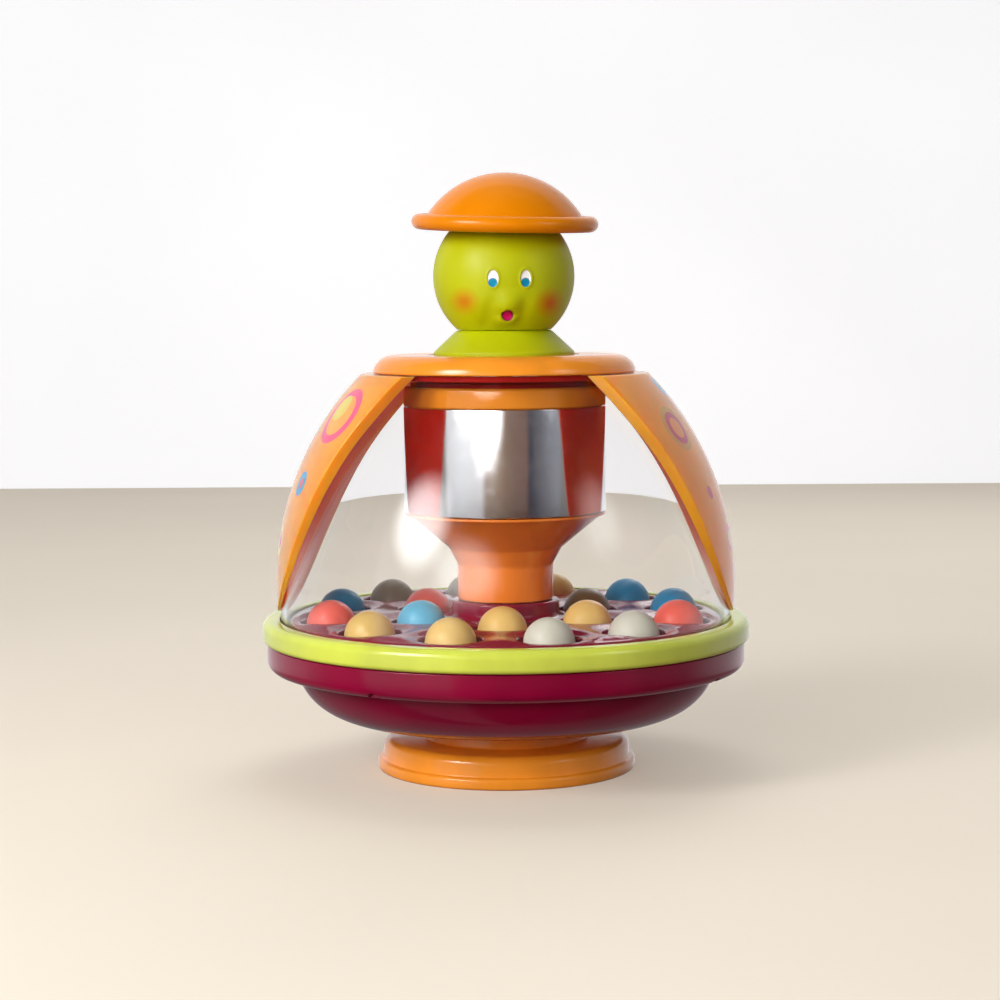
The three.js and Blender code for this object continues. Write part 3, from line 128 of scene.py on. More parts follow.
@dataclass
class Surface:
    """Points in millimetres and quads between them, before they become a mesh."""

    points: np.ndarray
    quads: np.ndarray

    def plus(self, other: "Surface") -> "Surface":
        """Both surfaces as one, not yet welded."""
        quads = np.vstack([self.quads, other.quads + len(self.points)])
        return Surface(np.vstack([self.points, other.points]), quads)

    def turned_over(self) -> "Surface":
        """The same surface facing the other way."""
        return Surface(self.points, self.quads[:, ::-1])

    def moved(self, by: Point) -> "Surface":
        """The same surface at another place."""
        return Surface(self.points + np.array(by), self.quads)

    def tilted(self, nod_deg: float, lean_deg: float, height: float) -> "Surface":
        """The surface turned about a place on the Z axis.

        Args:
            nod_deg: turn about +X, so that the front goes down.
            lean_deg: turn about +Y before it, so that the viewer's right goes down.
            height: the height of the place.

        Returns:
            The turned surface.
        """
        nod = Matrix.Rotation(math.radians(nod_deg), 3, "X")
        lean = Matrix.Rotation(math.radians(lean_deg), 3, "Y")
        place = np.array([0, 0, height])
        return Surface((self.points - place) @ np.array(nod @ lean).T + place, self.quads)

    def welded(self, tolerance: float = 2e-4) -> tuple[np.ndarray, list[list[int]]]:
        """Merges points that coincide, so that seams and poles close.

        Args:
            tolerance: size of the raster in which points count as one, in millimetres.

        Returns:
            The points, and the faces that keep three or more corners.
        """
        keys = np.round(self.points / tolerance).astype(np.int64)
        _, first, inverse = np.unique(keys, axis=0, return_index=True, return_inverse=True)
        quads = inverse.reshape(-1)[self.quads]
        repeats = quads == np.roll(quads, -1, axis=1)
        whole = quads[~repeats.any(axis=1)]
        partly = repeats.sum(axis=1) == 1
        triangles = quads[partly][~repeats[partly]].reshape(-1, 3)
        return self.points[first], whole.tolist() + triangles.tolist()

    def to_object(self, name: str) -> bpy.types.Object:
        """Makes a smooth-shaded object, linked into the scene."""
        points, faces = self.welded()
        mesh = bpy.data.meshes.new(name)
        mesh.from_pydata((points * MM).tolist(), [], faces)
        mesh.validate()
        smooth(mesh)
        return linked(name, mesh)


def smooth(mesh: bpy.types.Mesh) -> None:
    """Shades a mesh smooth, with sharp edges where its faces meet at a steep angle."""
    mesh.polygons.foreach_set("use_smooth", np.ones(len(mesh.polygons), dtype=bool))
    mesh.set_sharp_from_angle(angle=math.radians(SHARP_DEG))
    mesh.update()


def linked(name: str, data: bpy.types.ID) -> bpy.types.Object:
    """Puts a mesh, lamp or camera into the scene as an object."""
    item = bpy.data.objects.new(name, data)
    bpy.context.scene.collection.objects.link(item)
    return item


def modified(item: bpy.types.Object) -> bpy.types.Object:
    """Gives an object the mesh that its modifiers make, shaded smooth, in their place."""
    bpy.context.view_layer.update()
    graph = bpy.context.evaluated_depsgraph_get()
    mesh = bpy.data.meshes.new_from_object(item.evaluated_get(graph))
    item.modifiers.clear()
    item.data = mesh
    smooth(mesh)
    return item


def grid(points: np.ndarray, wrap_u: bool = False, wrap_v: bool = False) -> Surface:
    """Quads between the rows (u) and columns (v) of a grid, facing along du x dv.

    Args:
        points: grid of points, shape (rows, columns, 3).
        wrap_u: whether the last row joins the first.
        wrap_v: whether the last column joins the first.

    Returns:
        The surface.
    """
    rows, columns = points.shape[:2]
    u = np.arange(rows if wrap_u else rows - 1)[:, None]
    v = np.arange(columns if wrap_v else columns - 1)[None, :]
    u_next = (u + 1) % rows
    v_next = (v + 1) % columns
    corners = [u * columns + v, u_next * columns + v, u_next * columns + v_next, u * columns + v_next]
    quads = np.stack([np.broadcast_to(c, corners[0].shape) for c in corners], axis=-1).reshape(-1, 4)
    return Surface(points.reshape(-1, 3), quads)


def carried_round(profile: np.ndarray, azimuth: np.ndarray) -> np.ndarray:
    """A profile at azimuths round the Z axis: x = r sin(a), y = -r cos(a), z = h.

    Args:
        profile: points (radius, height), shape (n, 2).
        azimuth: the azimuths, shape (m,).

    Returns:
        The points, shape (m, n, 3).
    """
    radius, height = profile[None, :, 0], profile[None, :, 1]
    turn = azimuth[:, None]
    return np.stack(np.broadcast_arrays(radius * np.sin(turn), -radius * np.cos(turn), height), axis=-1)


def revolve(profile: np.ndarray, segments: int = 144, closed: bool = True) -> Surface:
    """Carries a profile once round the Z axis.

    Args:
        profile: points (radius, height), going up on the outside and down on the inside.
        segments: steps round the axis.
        closed: whether the profile's last point joins its first.

    Returns:
        The surface.
    """
    points = carried_round(profile, np.linspace(0, 2 * np.pi, segments, endpoint=False))
    on_axis = profile[0, 0] == 0 and profile[-1, 0] == 0
    return grid(points, wrap_u=True, wrap_v=closed and not on_axis)


def arc(middle: tuple[float, float], radii: tuple[float, float],
        from_deg: float, to_deg: float, steps: int) -> np.ndarray:
    """Points (radius, height) along an elliptical arc.

    Args:
        middle: the ellipse's middle.
        radii: its half width and half height.
        from_deg: start, from straight out.
        to_deg: end.
        steps: steps along the arc.

    Returns:
        The points, shape (steps + 1, 2).
    """
    angle = np.radians(np.linspace(from_deg, to_deg, steps + 1))
    return np.stack([middle[0] + radii[0] * np.cos(angle), middle[1] + radii[1] * np.sin(angle)], axis=1)


def fillet(before: np.ndarray, corner: np.ndarray, after: np.ndarray, radius: float,
           steps: int) -> np.ndarray:
    """The arc of a radius that touches both sides of a corner.

    Args:
        before: the point before the corner.
        corner: the corner.
        after: the point after it.
        radius: the fillet's radius, made smaller where the sides are short.
        steps: steps along the arc.

    Returns:
        Points along the arc, or the bare corner where it has no radius.
    """
    side_a, side_b = before - corner, after - corner
    length_a, length_b = np.linalg.norm(side_a), np.linalg.norm(side_b)
    tiny, straight, folded, longest = 1e-9, math.radians(89), math.radians(2), 0.49
    if radius <= 0 or min(length_a, length_b) < tiny:
        return corner[None]
    side_a, side_b = side_a / length_a, side_b / length_b
    half = math.acos(float(np.clip(side_a @ side_b, -1, 1))) / 2
    if half > straight or half < folded:
        return corner[None]
    reach = min(radius / math.tan(half), longest * length_a, longest * length_b)
    bisector = (side_a + side_b) / np.linalg.norm(side_a + side_b)
    middle = corner + bisector * reach / math.cos(half)
    start, end = corner + side_a * reach - middle, corner + side_b * reach - middle
    sweep = np.pi - 2 * half
    share = np.linspace(0, 1, steps + 1)[:, None]
    return middle + (np.sin((1 - share) * sweep) * start + np.sin(share * sweep) * end) / math.sin(sweep)


def rounded(corners: list[Corner], steps: int = 4) -> np.ndarray:
    """A profile whose corners are filleted.

    Args:
        corners: (radius, height, fillet) of each corner, in order.
        steps: steps along each fillet.

    Returns:
        The profile's points, shape (n, 2).
    """
    places = np.array([corner[:2] for corner in corners], dtype=float)
    rounds = [corner[2] for corner in corners]
    before, after = np.roll(places, 1, axis=0), np.roll(places, -1, axis=0)
    parts = [fillet(b, p, a, r, steps) for b, p, a, r in zip(before, places, after, rounds)]
    return np.vstack(parts)


def plain(points: np.ndarray) -> list[Corner]:
    """Profile points as corners without fillets."""
    return [(float(r), float(z), 0.0) for r, z in points]


def around(radius: float, degrees: float, height: float) -> Point:
    """The place at a radius and an azimuth."""
    angle = math.radians(degrees)
    return radius * math.sin(angle), -radius * math.cos(angle), height


def bump(distance: np.ndarray, width: float | np.ndarray) -> np.ndarray:
    """A bell over a distance: 1 in the middle, exp(-d^2 / 2 width^2)."""
    return np.exp(-0.5 * (distance / width) ** 2)


def step(value: np.ndarray, low: float, high: float) -> np.ndarray:
    """A smooth step from 0 at low to 1 at high, 3t^2 - 2t^3."""
    t = np.clip((value - low) / (high - low), 0, 1)
    return t * t * (3 - 2 * t)


# Finishes


def linear(colour: Colour) -> tuple[float, float, float, float]:
    """An 8-bit colour as the shader wants it."""
    share = np.array(colour) / 255
    value = np.where(share <= 0.04045, share / 12.92, ((share + 0.055) / 1.055) ** 2.4)
    return float(value[0]), float(value[1]), float(value[2]), 1.0


def shaded(colour: Colour, factor: float) -> Colour:
    """A colour made darker or lighter by a factor."""
    r, g, b = (int(min(255, max(0, round(c * factor)))) for c in colour)
    return r, g, b


class Graph:
    """Adds nodes to one node tree and links them."""

    def __init__(self, tree: bpy.types.NodeTree) -> None:
        """Takes the tree that it adds to."""
        self.nodes, self.links = tree.nodes, tree.links

    def node(self, kind: str, **settings: str) -> bpy.types.Node:
        """Adds a node of a kind, with its settings."""
        made = self.nodes.new(kind)
        for name, value in settings.items():
            setattr(made, name, value)
        return made

    def plug(self, socket: Socket, value: Socket | float | Point) -> None:
        """Links another node's socket to a node's socket, or sets a plain value on it."""
        if isinstance(value, Socket):
            self.links.new(value, socket)
        else:
            socket.default_value = value

    def maths(self, operation: str, first: Socket, second: Socket | float) -> Socket:
        """The result of a sum on two values.

        Args:
            operation: Blender's name for the sum.
            first: the first value.
            second: the second value, or a number.

        Returns:
            The result.
        """
        made = self.node("ShaderNodeMath", operation=operation)
        self.plug(made.inputs[0], first)
        self.plug(made.inputs[1], second)
        return made.outputs[0]

    def remap(self, value: Socket, source: Range, target: Range = (0.0, 1.0), kind: str = "LINEAR") -> Socket:
        """Maps a value from one range to another, clamped.

        Args:
            value: the value.
            source: range it comes in.
            target: range it goes out.
            kind: Blender's name for the way between.

        Returns:
            The mapped value.
        """
        mapper = self.node("ShaderNodeMapRange", interpolation_type=kind)
        mapper.inputs["From Min"].default_value, mapper.inputs["From Max"].default_value = source
        mapper.inputs["To Min"].default_value, mapper.inputs["To Max"].default_value = target
        self.plug(mapper.inputs["Value"], value)
        return mapper.outputs["Result"]

    def mixed(self, factor: Socket, below: Socket | Colour, above: Socket | Colour) -> Socket:
        """A colour that goes from one to another with a factor.

        Args:
            factor: share of the upper colour.
            below: the lower colour, or a socket that gives it.
            above: the upper colour, or a socket that gives it.

        Returns:
            The mixed colour.
        """
        mix = self.node("ShaderNodeMix", data_type="RGBA")
        self.plug(mix.inputs["Factor"], factor)
        for index, colour in ((6, below), (7, above)):
            self.plug(mix.inputs[index], linear(colour) if isinstance(colour, tuple) else colour)
        return mix.outputs[2]


class Recipe(Graph):
    """The node graph of one material, on the piece's own coordinates."""

    def __init__(self, name: str) -> None:
        """Starts a material with its shader and the piece's own coordinates."""
        self.material = bpy.data.materials.new(name)
        self.material.use_nodes = True
        super().__init__(self.material.node_tree)
        self.shader = self.nodes["Principled BSDF"]
        self.place = self.node("ShaderNodeTexCoord").outputs["Object"]

    def set(self, **values: float | tuple) -> None:
        """Sets plain values on the shader, sockets named with _ for spaces."""
        for name, value in values.items():
            self.shader.inputs[name.replace("_", " ")].default_value = value

    def feed(self, socket: str, source: Socket) -> None:
        """Links a source to one of the shader's sockets."""
        self.links.new(source, self.shader.inputs[socket])

    def stretched(self, scale: Point) -> Socket:
        """The piece's coordinates multiplied along each axis."""
        mapping = self.node("ShaderNodeMapping")
        mapping.inputs["Scale"].default_value = scale
        self.plug(mapping.inputs["Vector"], self.place)
        return mapping.outputs["Vector"]

    def noise(self, scale: float, detail: float = 2.0, stretch: Point = (1, 1, 1)) -> Socket:
        """Noise on the piece's coordinates.

        Args:
            scale: features per metre.
            detail: octaves.
            stretch: multiplies the coordinates along each axis.

        Returns:
            The noise value, about 0.5 on average.
        """
        texture = self.node("ShaderNodeTexNoise")
        texture.inputs["Scale"].default_value = scale
        texture.inputs["Detail"].default_value = detail
        self.plug(texture.inputs["Vector"], self.stretched(stretch))
        return texture.outputs["Fac"]

    def spot(self, centre: Point, radii: Point, edge: float, turn_deg: float = 0.0) -> Socket:
        """A spot round a place on the piece: 1 inside an ellipsoid and 0 outside.

        Args:
            centre: the ellipsoid's middle, in millimetres.
            radii: its half axes, in millimetres.
            edge: share of the radius over which it fades.
            turn_deg: turn of its axes about Z.

        Returns:
            The factor.
        """
        mapping = self.node("ShaderNodeMapping", vector_type="TEXTURE")
        mapping.inputs["Location"].default_value = Vector(centre) * MM
        mapping.inputs["Rotation"].default_value = (0, 0, math.radians(turn_deg))
        mapping.inputs["Scale"].default_value = Vector(radii) * MM
        self.plug(mapping.inputs["Vector"], self.place)
        length = self.node("ShaderNodeVectorMath", operation="LENGTH")
        self.plug(length.inputs[0], mapping.outputs["Vector"])
        return self.remap(length.outputs["Value"], (1 - edge, 1 + edge), (1, 0))

    def see_through(self, factor: Socket, tint: float = 1.0) -> None:
        """Makes the surface invisible by a factor.

        Args:
            factor: 0 for the plain surface, 1 for none.
            tint: the share of light that passes where there is none.
        """
        through = self.node("ShaderNodeBsdfTransparent")
        through.inputs["Color"].default_value = (tint, tint, tint, 1.0)
        mix = self.node("ShaderNodeMixShader")
        self.plug(mix.inputs["Fac"], factor)
        self.plug(mix.inputs[1], self.shader.outputs["BSDF"])
        self.plug(mix.inputs[2], through.outputs["BSDF"])
        self.plug(self.nodes["Material Output"].inputs["Surface"], mix.outputs["Shader"])

    def relief(self, height: Socket, strength: float, depth: float) -> None:
        """Bumps the surface by a height.

        Args:
            height: the height value.
            strength: how much of it shows.
            depth: height of a full step, in metres.
        """
        made = self.node("ShaderNodeBump")
        made.inputs["Strength"].default_value = strength
        made.inputs["Distance"].default_value = depth
        self.plug(made.inputs["Height"], height)
        self.feed("Normal", made.outputs["Normal"])


@dataclass(frozen=True)
class Finish:
    """A finish by its name, made into a material once."""

    name: str

    def dress(self, recipe: Recipe) -> None:
        """Sets the finish's own values and nodes."""
        raise NotImplementedError

    def material(self) -> bpy.types.Material:
        """Makes the material, or gives the one already made."""
        made = bpy.data.materials.get(self.name)
        if made is None:
            recipe = Recipe(self.name)
            self.dress(recipe)
            made = recipe.material
        return made


@dataclass(frozen=True)
class Plastic(Finish):
    """Moulded plastic: an even colour with faint flow marks, a fine skin and uneven gloss."""

    flow_scale: ClassVar[float] = 45.0
    smear_scale: ClassVar[float] = 70.0
    skin_scale: ClassVar[float] = 900.0
    skin_depth: ClassVar[float] = 0.0003
    colour: Colour
    roughness: float = 0.28
    coat: float = 0.25
    flow: float = 0.06
    grain: float = 0.05
    shine: float = 0.3
    glow: float = 0.0

    def base(self, recipe: Recipe) -> Socket:
        """The colour with faint flow marks."""
        marks = recipe.remap(recipe.noise(self.flow_scale, 3.0, (1, 1, 0.6)), (0.3, 0.7))
        darker, lighter = shaded(self.colour, 1 - self.flow), shaded(self.colour, 1 + self.flow * 0.5)
        return recipe.mixed(marks, darker, lighter)

    def dress(self, recipe: Recipe) -> None:
        """The colour, the gloss with its unevenness, and the fine skin of the mould."""
        recipe.feed("Base Color", self.base(recipe))
        smears = recipe.noise(self.smear_scale, 4.0)
        gloss = (self.roughness * 0.8, self.roughness * 1.3)
        recipe.feed("Roughness", recipe.remap(smears, (0.3, 0.75), gloss))
        recipe.relief(recipe.noise(self.skin_scale), self.grain, self.skin_depth)
        recipe.set(IOR=1.5, Specular_IOR_Level=self.shine, Coat_Weight=self.coat, Coat_Roughness=0.1)
        if self.glow > 0:
            recipe.set(Subsurface_Weight=self.glow, Subsurface_Scale=0.02,
                       Subsurface_Radius=(1.0, 0.25, 0.1))


@dataclass(frozen=True)
class Print:
    """One printed spot: where it is, its radius and its colour."""

    centre: Point
    radius: float
    colour: Colour


@dataclass(frozen=True)
class PrintedPlastic(Plastic):
    """Moulded plastic with rings and dots printed on its outside, and painted shade on its inner face."""

    print_edge: ClassVar[float] = 0.25
    # Painted shade: over this share of the wall's depth, the inner face turns to a redder colour that stands
    # in for the shade inside the petals.
    painted_shade_from: ClassVar[Range] = (0.84, 0.9)
    prints: tuple[Print, ...] = ()
    inner_face: Colour = (0, 0, 0)

    def base(self, recipe: Recipe) -> Socket:
        """The colour with flow marks, the printed spots over it and painted shade on its inner face."""
        colour = super().base(recipe)
        for mark in self.prints:
            inside = recipe.spot(mark.centre, (mark.radius,) * 3, self.print_edge / mark.radius)
            colour = recipe.mixed(inside, colour, mark.colour)
        # Painted shade: the redder inner-face colour is mixed in by depth in the wall.
        depth = recipe.node("ShaderNodeAttribute", attribute_name="depth").outputs["Fac"]
        return recipe.mixed(recipe.remap(depth, self.painted_shade_from), colour, self.inner_face)


@dataclass(frozen=True)
class Paint:
    """One painted area of the face, as an ellipsoid in the face's own axes."""

    across: float
    up: float
    half_width: float
    half_height: float
    colour: Colour
    edge: float
    strength: float = 1.0


@dataclass(frozen=True)
class PaintedPlastic(Plastic):
    """Matte moulded plastic with a painted face."""

    paint_reach: ClassVar[float] = 9.0
    centre: Point = (0, 0, 0)
    ball: float = 1.0
    turn_deg: float = 0.0
    paints: tuple[Paint, ...] = ()

    def base(self, recipe: Recipe) -> Socket:
        """The colour with flow marks and the painted areas over it."""
        colour = super().base(recipe)
        turn = math.radians(self.turn_deg)
        for paint in self.paints:
            out = math.sqrt(max(self.ball**2 - paint.across**2 - paint.up**2, 0))
            x = paint.across * math.cos(turn) + out * math.sin(turn)
            y = paint.across * math.sin(turn) - out * math.cos(turn)
            place = (self.centre[0] + x, self.centre[1] + y, self.centre[2] + paint.up)
            radii = (paint.half_width, self.paint_reach, paint.half_height)
            inside = recipe.spot(place, radii, paint.edge, self.turn_deg)
            inside = recipe.remap(inside, (0, 1), (0, paint.strength))
            colour = recipe.mixed(inside, colour, paint.colour)
        return colour


@dataclass(frozen=True)
class ClearPlastic(Finish):
    """Clear moulded plastic with faint waves, through which lamps light what is behind it."""

    passes: float = 0.93

    def dress(self, recipe: Recipe) -> None:
        """Clear with faint smears and waves, and open to the lamps' light."""
        recipe.set(Base_Color=(1, 1, 1, 1), Transmission_Weight=1.0, IOR=1.4)
        smears = recipe.noise(38.0, 3.0)
        recipe.feed("Roughness", recipe.remap(smears, (0.45, 0.8), (0.0, 0.03)))
        recipe.relief(recipe.noise(22.0, 1.0), 0.12, 0.0012)
        rays = recipe.node("ShaderNodeLightPath").outputs
        lit = recipe.maths("MAXIMUM", rays["Is Shadow Ray"], rays["Is Diffuse Ray"])
        recipe.see_through(lit, self.passes)


@dataclass(frozen=True)
class MirrorFilm(Finish):
    """Metallised film on a tube, with faint upright wrinkles."""

    colour: Colour

    def dress(self, recipe: Recipe) -> None:
        """A mirror brushed round the axis, with scuffs and upright wrinkles."""
        recipe.set(Base_Color=linear(self.colour), Metallic=1.0, Anisotropic=0.85,
                   Anisotropic_Rotation=0.25)
        round_axis = recipe.node("ShaderNodeTangent", direction_type="RADIAL", axis="Z")
        recipe.feed("Tangent", round_axis.outputs["Tangent"])
        scuffs = recipe.noise(160.0, 4.0)
        recipe.feed("Roughness", recipe.remap(scuffs, (0.4, 0.8), (0.13, 0.2)))
        recipe.relief(recipe.noise(70.0, 2.0, (1, 1, 0.12)), 0.05, 0.0012)


@dataclass(frozen=True)
class Metal(Finish):
    """Plain steel with fine turning marks."""

    colour: Colour
    roughness: float = 0.3

    def dress(self, recipe: Recipe) -> None:
        """Metal with an uneven tint and gloss."""
        tint = recipe.remap(recipe.noise(260.0, 3.0), (0.3, 0.7))
        recipe.feed("Base Color", recipe.mixed(tint, shaded(self.colour, 0.85), self.colour))
        recipe.set(Metallic=1.0)
        marks = recipe.noise(1500.0, 2.0, (0.2, 0.2, 1))
        gloss = (self.roughness * 0.7, self.roughness * 1.5)
        recipe.feed("Roughness", recipe.remap(marks, (0.3, 0.7), gloss))


ORANGE = Plastic("orange_gloss", (246, 150, 42), 0.13, 0.0, shine=0.5)
COLUMN_ORANGE = Plastic("column_orange", (247, 134, 42), 0.14, 0.0, shine=0.5)
HAT_ORANGE = Plastic("hat_satin", (226, 130, 0), 0.19, 0.0, 0.03, 0.02, shine=0.3)
LIME = Plastic("lime_matte", (182, 189, 0), 0.45, 0.0, 0.04, 0.08, shine=0.35)
RING_LIME = Plastic("ring_gloss", (204, 215, 80), 0.13, 0.0, shine=0.5)
MAROON = Plastic("maroon_gloss", (132, 2, 48), 0.13, 0.0, shine=0.35)
# Painted shade: dark red without gloss, standing in for the shade under the cap, on the cap's retainer ring
# and the drum's lid disc.
PAINTED_SHADE_RED = Plastic("painted_shade_red", (186, 34, 36), 0.9, 0.0, 0.12, 0.3, shine=0.0)
CLEAR = ClearPlastic("dome_clear")
MIRROR = MirrorFilm("drum_film", (226, 226, 229))
STEEL = Metal("plain_steel", (186, 187, 190))
NYLON = Plastic("nylon_white", (232, 229, 219), 0.5, 0.0, 0.03, 0.1)
BALL_FINISHES = {
    Slot.BALL_YELLOW: Plastic("ball_yellow_satin", (238, 198, 116), 0.42, 0.1, 0.05, 0.08),
    Slot.BALL_WHITE: Plastic("ball_white_satin", (220, 217, 199), 0.42, 0.1, 0.04, 0.08),
    Slot.BALL_CORAL: Plastic("ball_coral_satin", (246, 102, 84), 0.42, 0.1, 0.05, 0.08),
    Slot.BALL_SKY: Plastic("ball_sky_satin", (104, 192, 224), 0.42, 0.1, 0.05, 0.08),
    Slot.BALL_BLUE: Plastic("ball_blue_satin", (32, 140, 190), 0.42, 0.1, 0.05, 0.08),
    Slot.BALL_OLIVE: Plastic("ball_olive_satin", (116, 94, 56), 0.42, 0.1, 0.05, 0.08),
}


# Sub-assemblies


class SubAssembly:
    """Shared steps of every group of pieces: make, dress, ride and report."""

    body: Body = Body.HOUSING

    def piece(self, name: str, surface: Surface | bpy.types.Object, finish: Finish, slot: Slot,
              *nodes: str, body: str | None = None) -> bpy.types.Object:
        """Makes one finished piece that stands for CAD nodes.

        Args:
            name: the piece's name.
            surface: its surface, or an object made from it.
            finish: its finish.
            slot: the record's material slot, which is not used.
            nodes: CAD nodes that it stands for.
            body: the CAD body that it rides on, unless it is the group's own.

        Returns:
            The object.
        """
        item = surface.to_object(name) if isinstance(surface, Surface) else surface
        item.data.materials.clear()
        item.data.materials.append(finish.material())
        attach(item, body or self.body.value)
        if nodes:
            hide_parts(*nodes)
        LOG.info("%s: %d faces for %s", name, len(item.data.polygons), ", ".join(nodes) or "no node")
        return item

    def dressed(self, node: bpy.types.Object, finish: Finish) -> None:
        """Gives a CAD node that stays a better material."""
        node.data.materials.clear()
        node.data.materials.append(finish.material())
        LOG.info("%s keeps its CAD shape", node.name)


@dataclass
class Screws(SubAssembly):
    """Pan-head screws with a cross recess."""

    radius: float = 1.5
    head: float = 3.0
    head_height: float = 2.0
    head_side: float = 0.9
    pitch: float = 0.9
    thread: float = 0.07
    recess: float = 1.1
    cross_reach: Range = (1.5, 1.8)
    cross_half: Range = (0.3, 0.5)

    def surface(self, length: float) -> Surface:
        """A screw whose head's underside is at height 0 and whose shank points down.

        The head is a dome over a cylinder. Inside the cross |x| < w or |y| < w the top is lowered
        by a smooth step, and the shank's radius follows a cosine of height for its thread.

        Args:
            length: the shank's length.

        Returns:
            The surface.
        """
        height = np.linspace(-length, -0.2, 90)
        taper = np.clip((height + length) / (1.6 * self.radius), 0.25, 1)
        wave = (1 - self.thread) + self.thread * np.cos(2 * np.pi * height / self.pitch)
        shank = np.stack([self.radius * taper * wave, height], axis=1)
        head = arc((0, self.head_side), (self.head, self.head_height - self.head_side), 0, 90, 28)
        head[-1, 0] = 0
        profile = np.vstack([[(0, -length)], shank, [(self.radius, 0), (self.head, 0)], head])
        made = revolve(profile, 64)
        x, y, z = made.points.T
        reach = 1 - step(np.hypot(x, y), *self.cross_reach)
        arm = 1 - np.minimum(step(np.abs(x), *self.cross_half), step(np.abs(y), *self.cross_half))
        made.points[:, 2] = z - np.where(z > self.head_side, self.recess * reach * arm, 0)
        return made

    def place(self, name: str, node: str, length: float, at: Point, head_below: bool,
              body: Body) -> None:
        """Puts one screw where its CAD node is.

        Args:
            name: the piece's name.
            node: the CAD node.
            length: the shank's length.
            at: the place of its head's underside.
            head_below: whether it is turned over.
            body: the body that it rides on.
        """
        made = self.surface(length)
        if head_below:
            made.points[:, 1:] *= -1
        self.piece(name, made.moved(at), STEEL, Slot.STEEL, node, body=body.value)

    def three(self, kind: str, length: float, circle: float, first_deg: float, height: float,
              head_below: bool, body: Body) -> None:
        """Puts three screws evenly round the axis.

        Args:
            kind: what they hold, which begins their names.
            length: their shanks' length.
            circle: radius of the circle that they stand on.
            first_deg: azimuth of the first.
            height: height of their heads' undersides.
            head_below: whether they are turned over.
            body: the body that they ride on.
        """
        for index in range(3):
            at = around(circle, first_deg + 120 * index, height)
            name, node = f"{kind}_fixing_{index + 1}", f"{kind}_screw_{index + 1}"
            self.place(name, node, length, at, head_below, body)


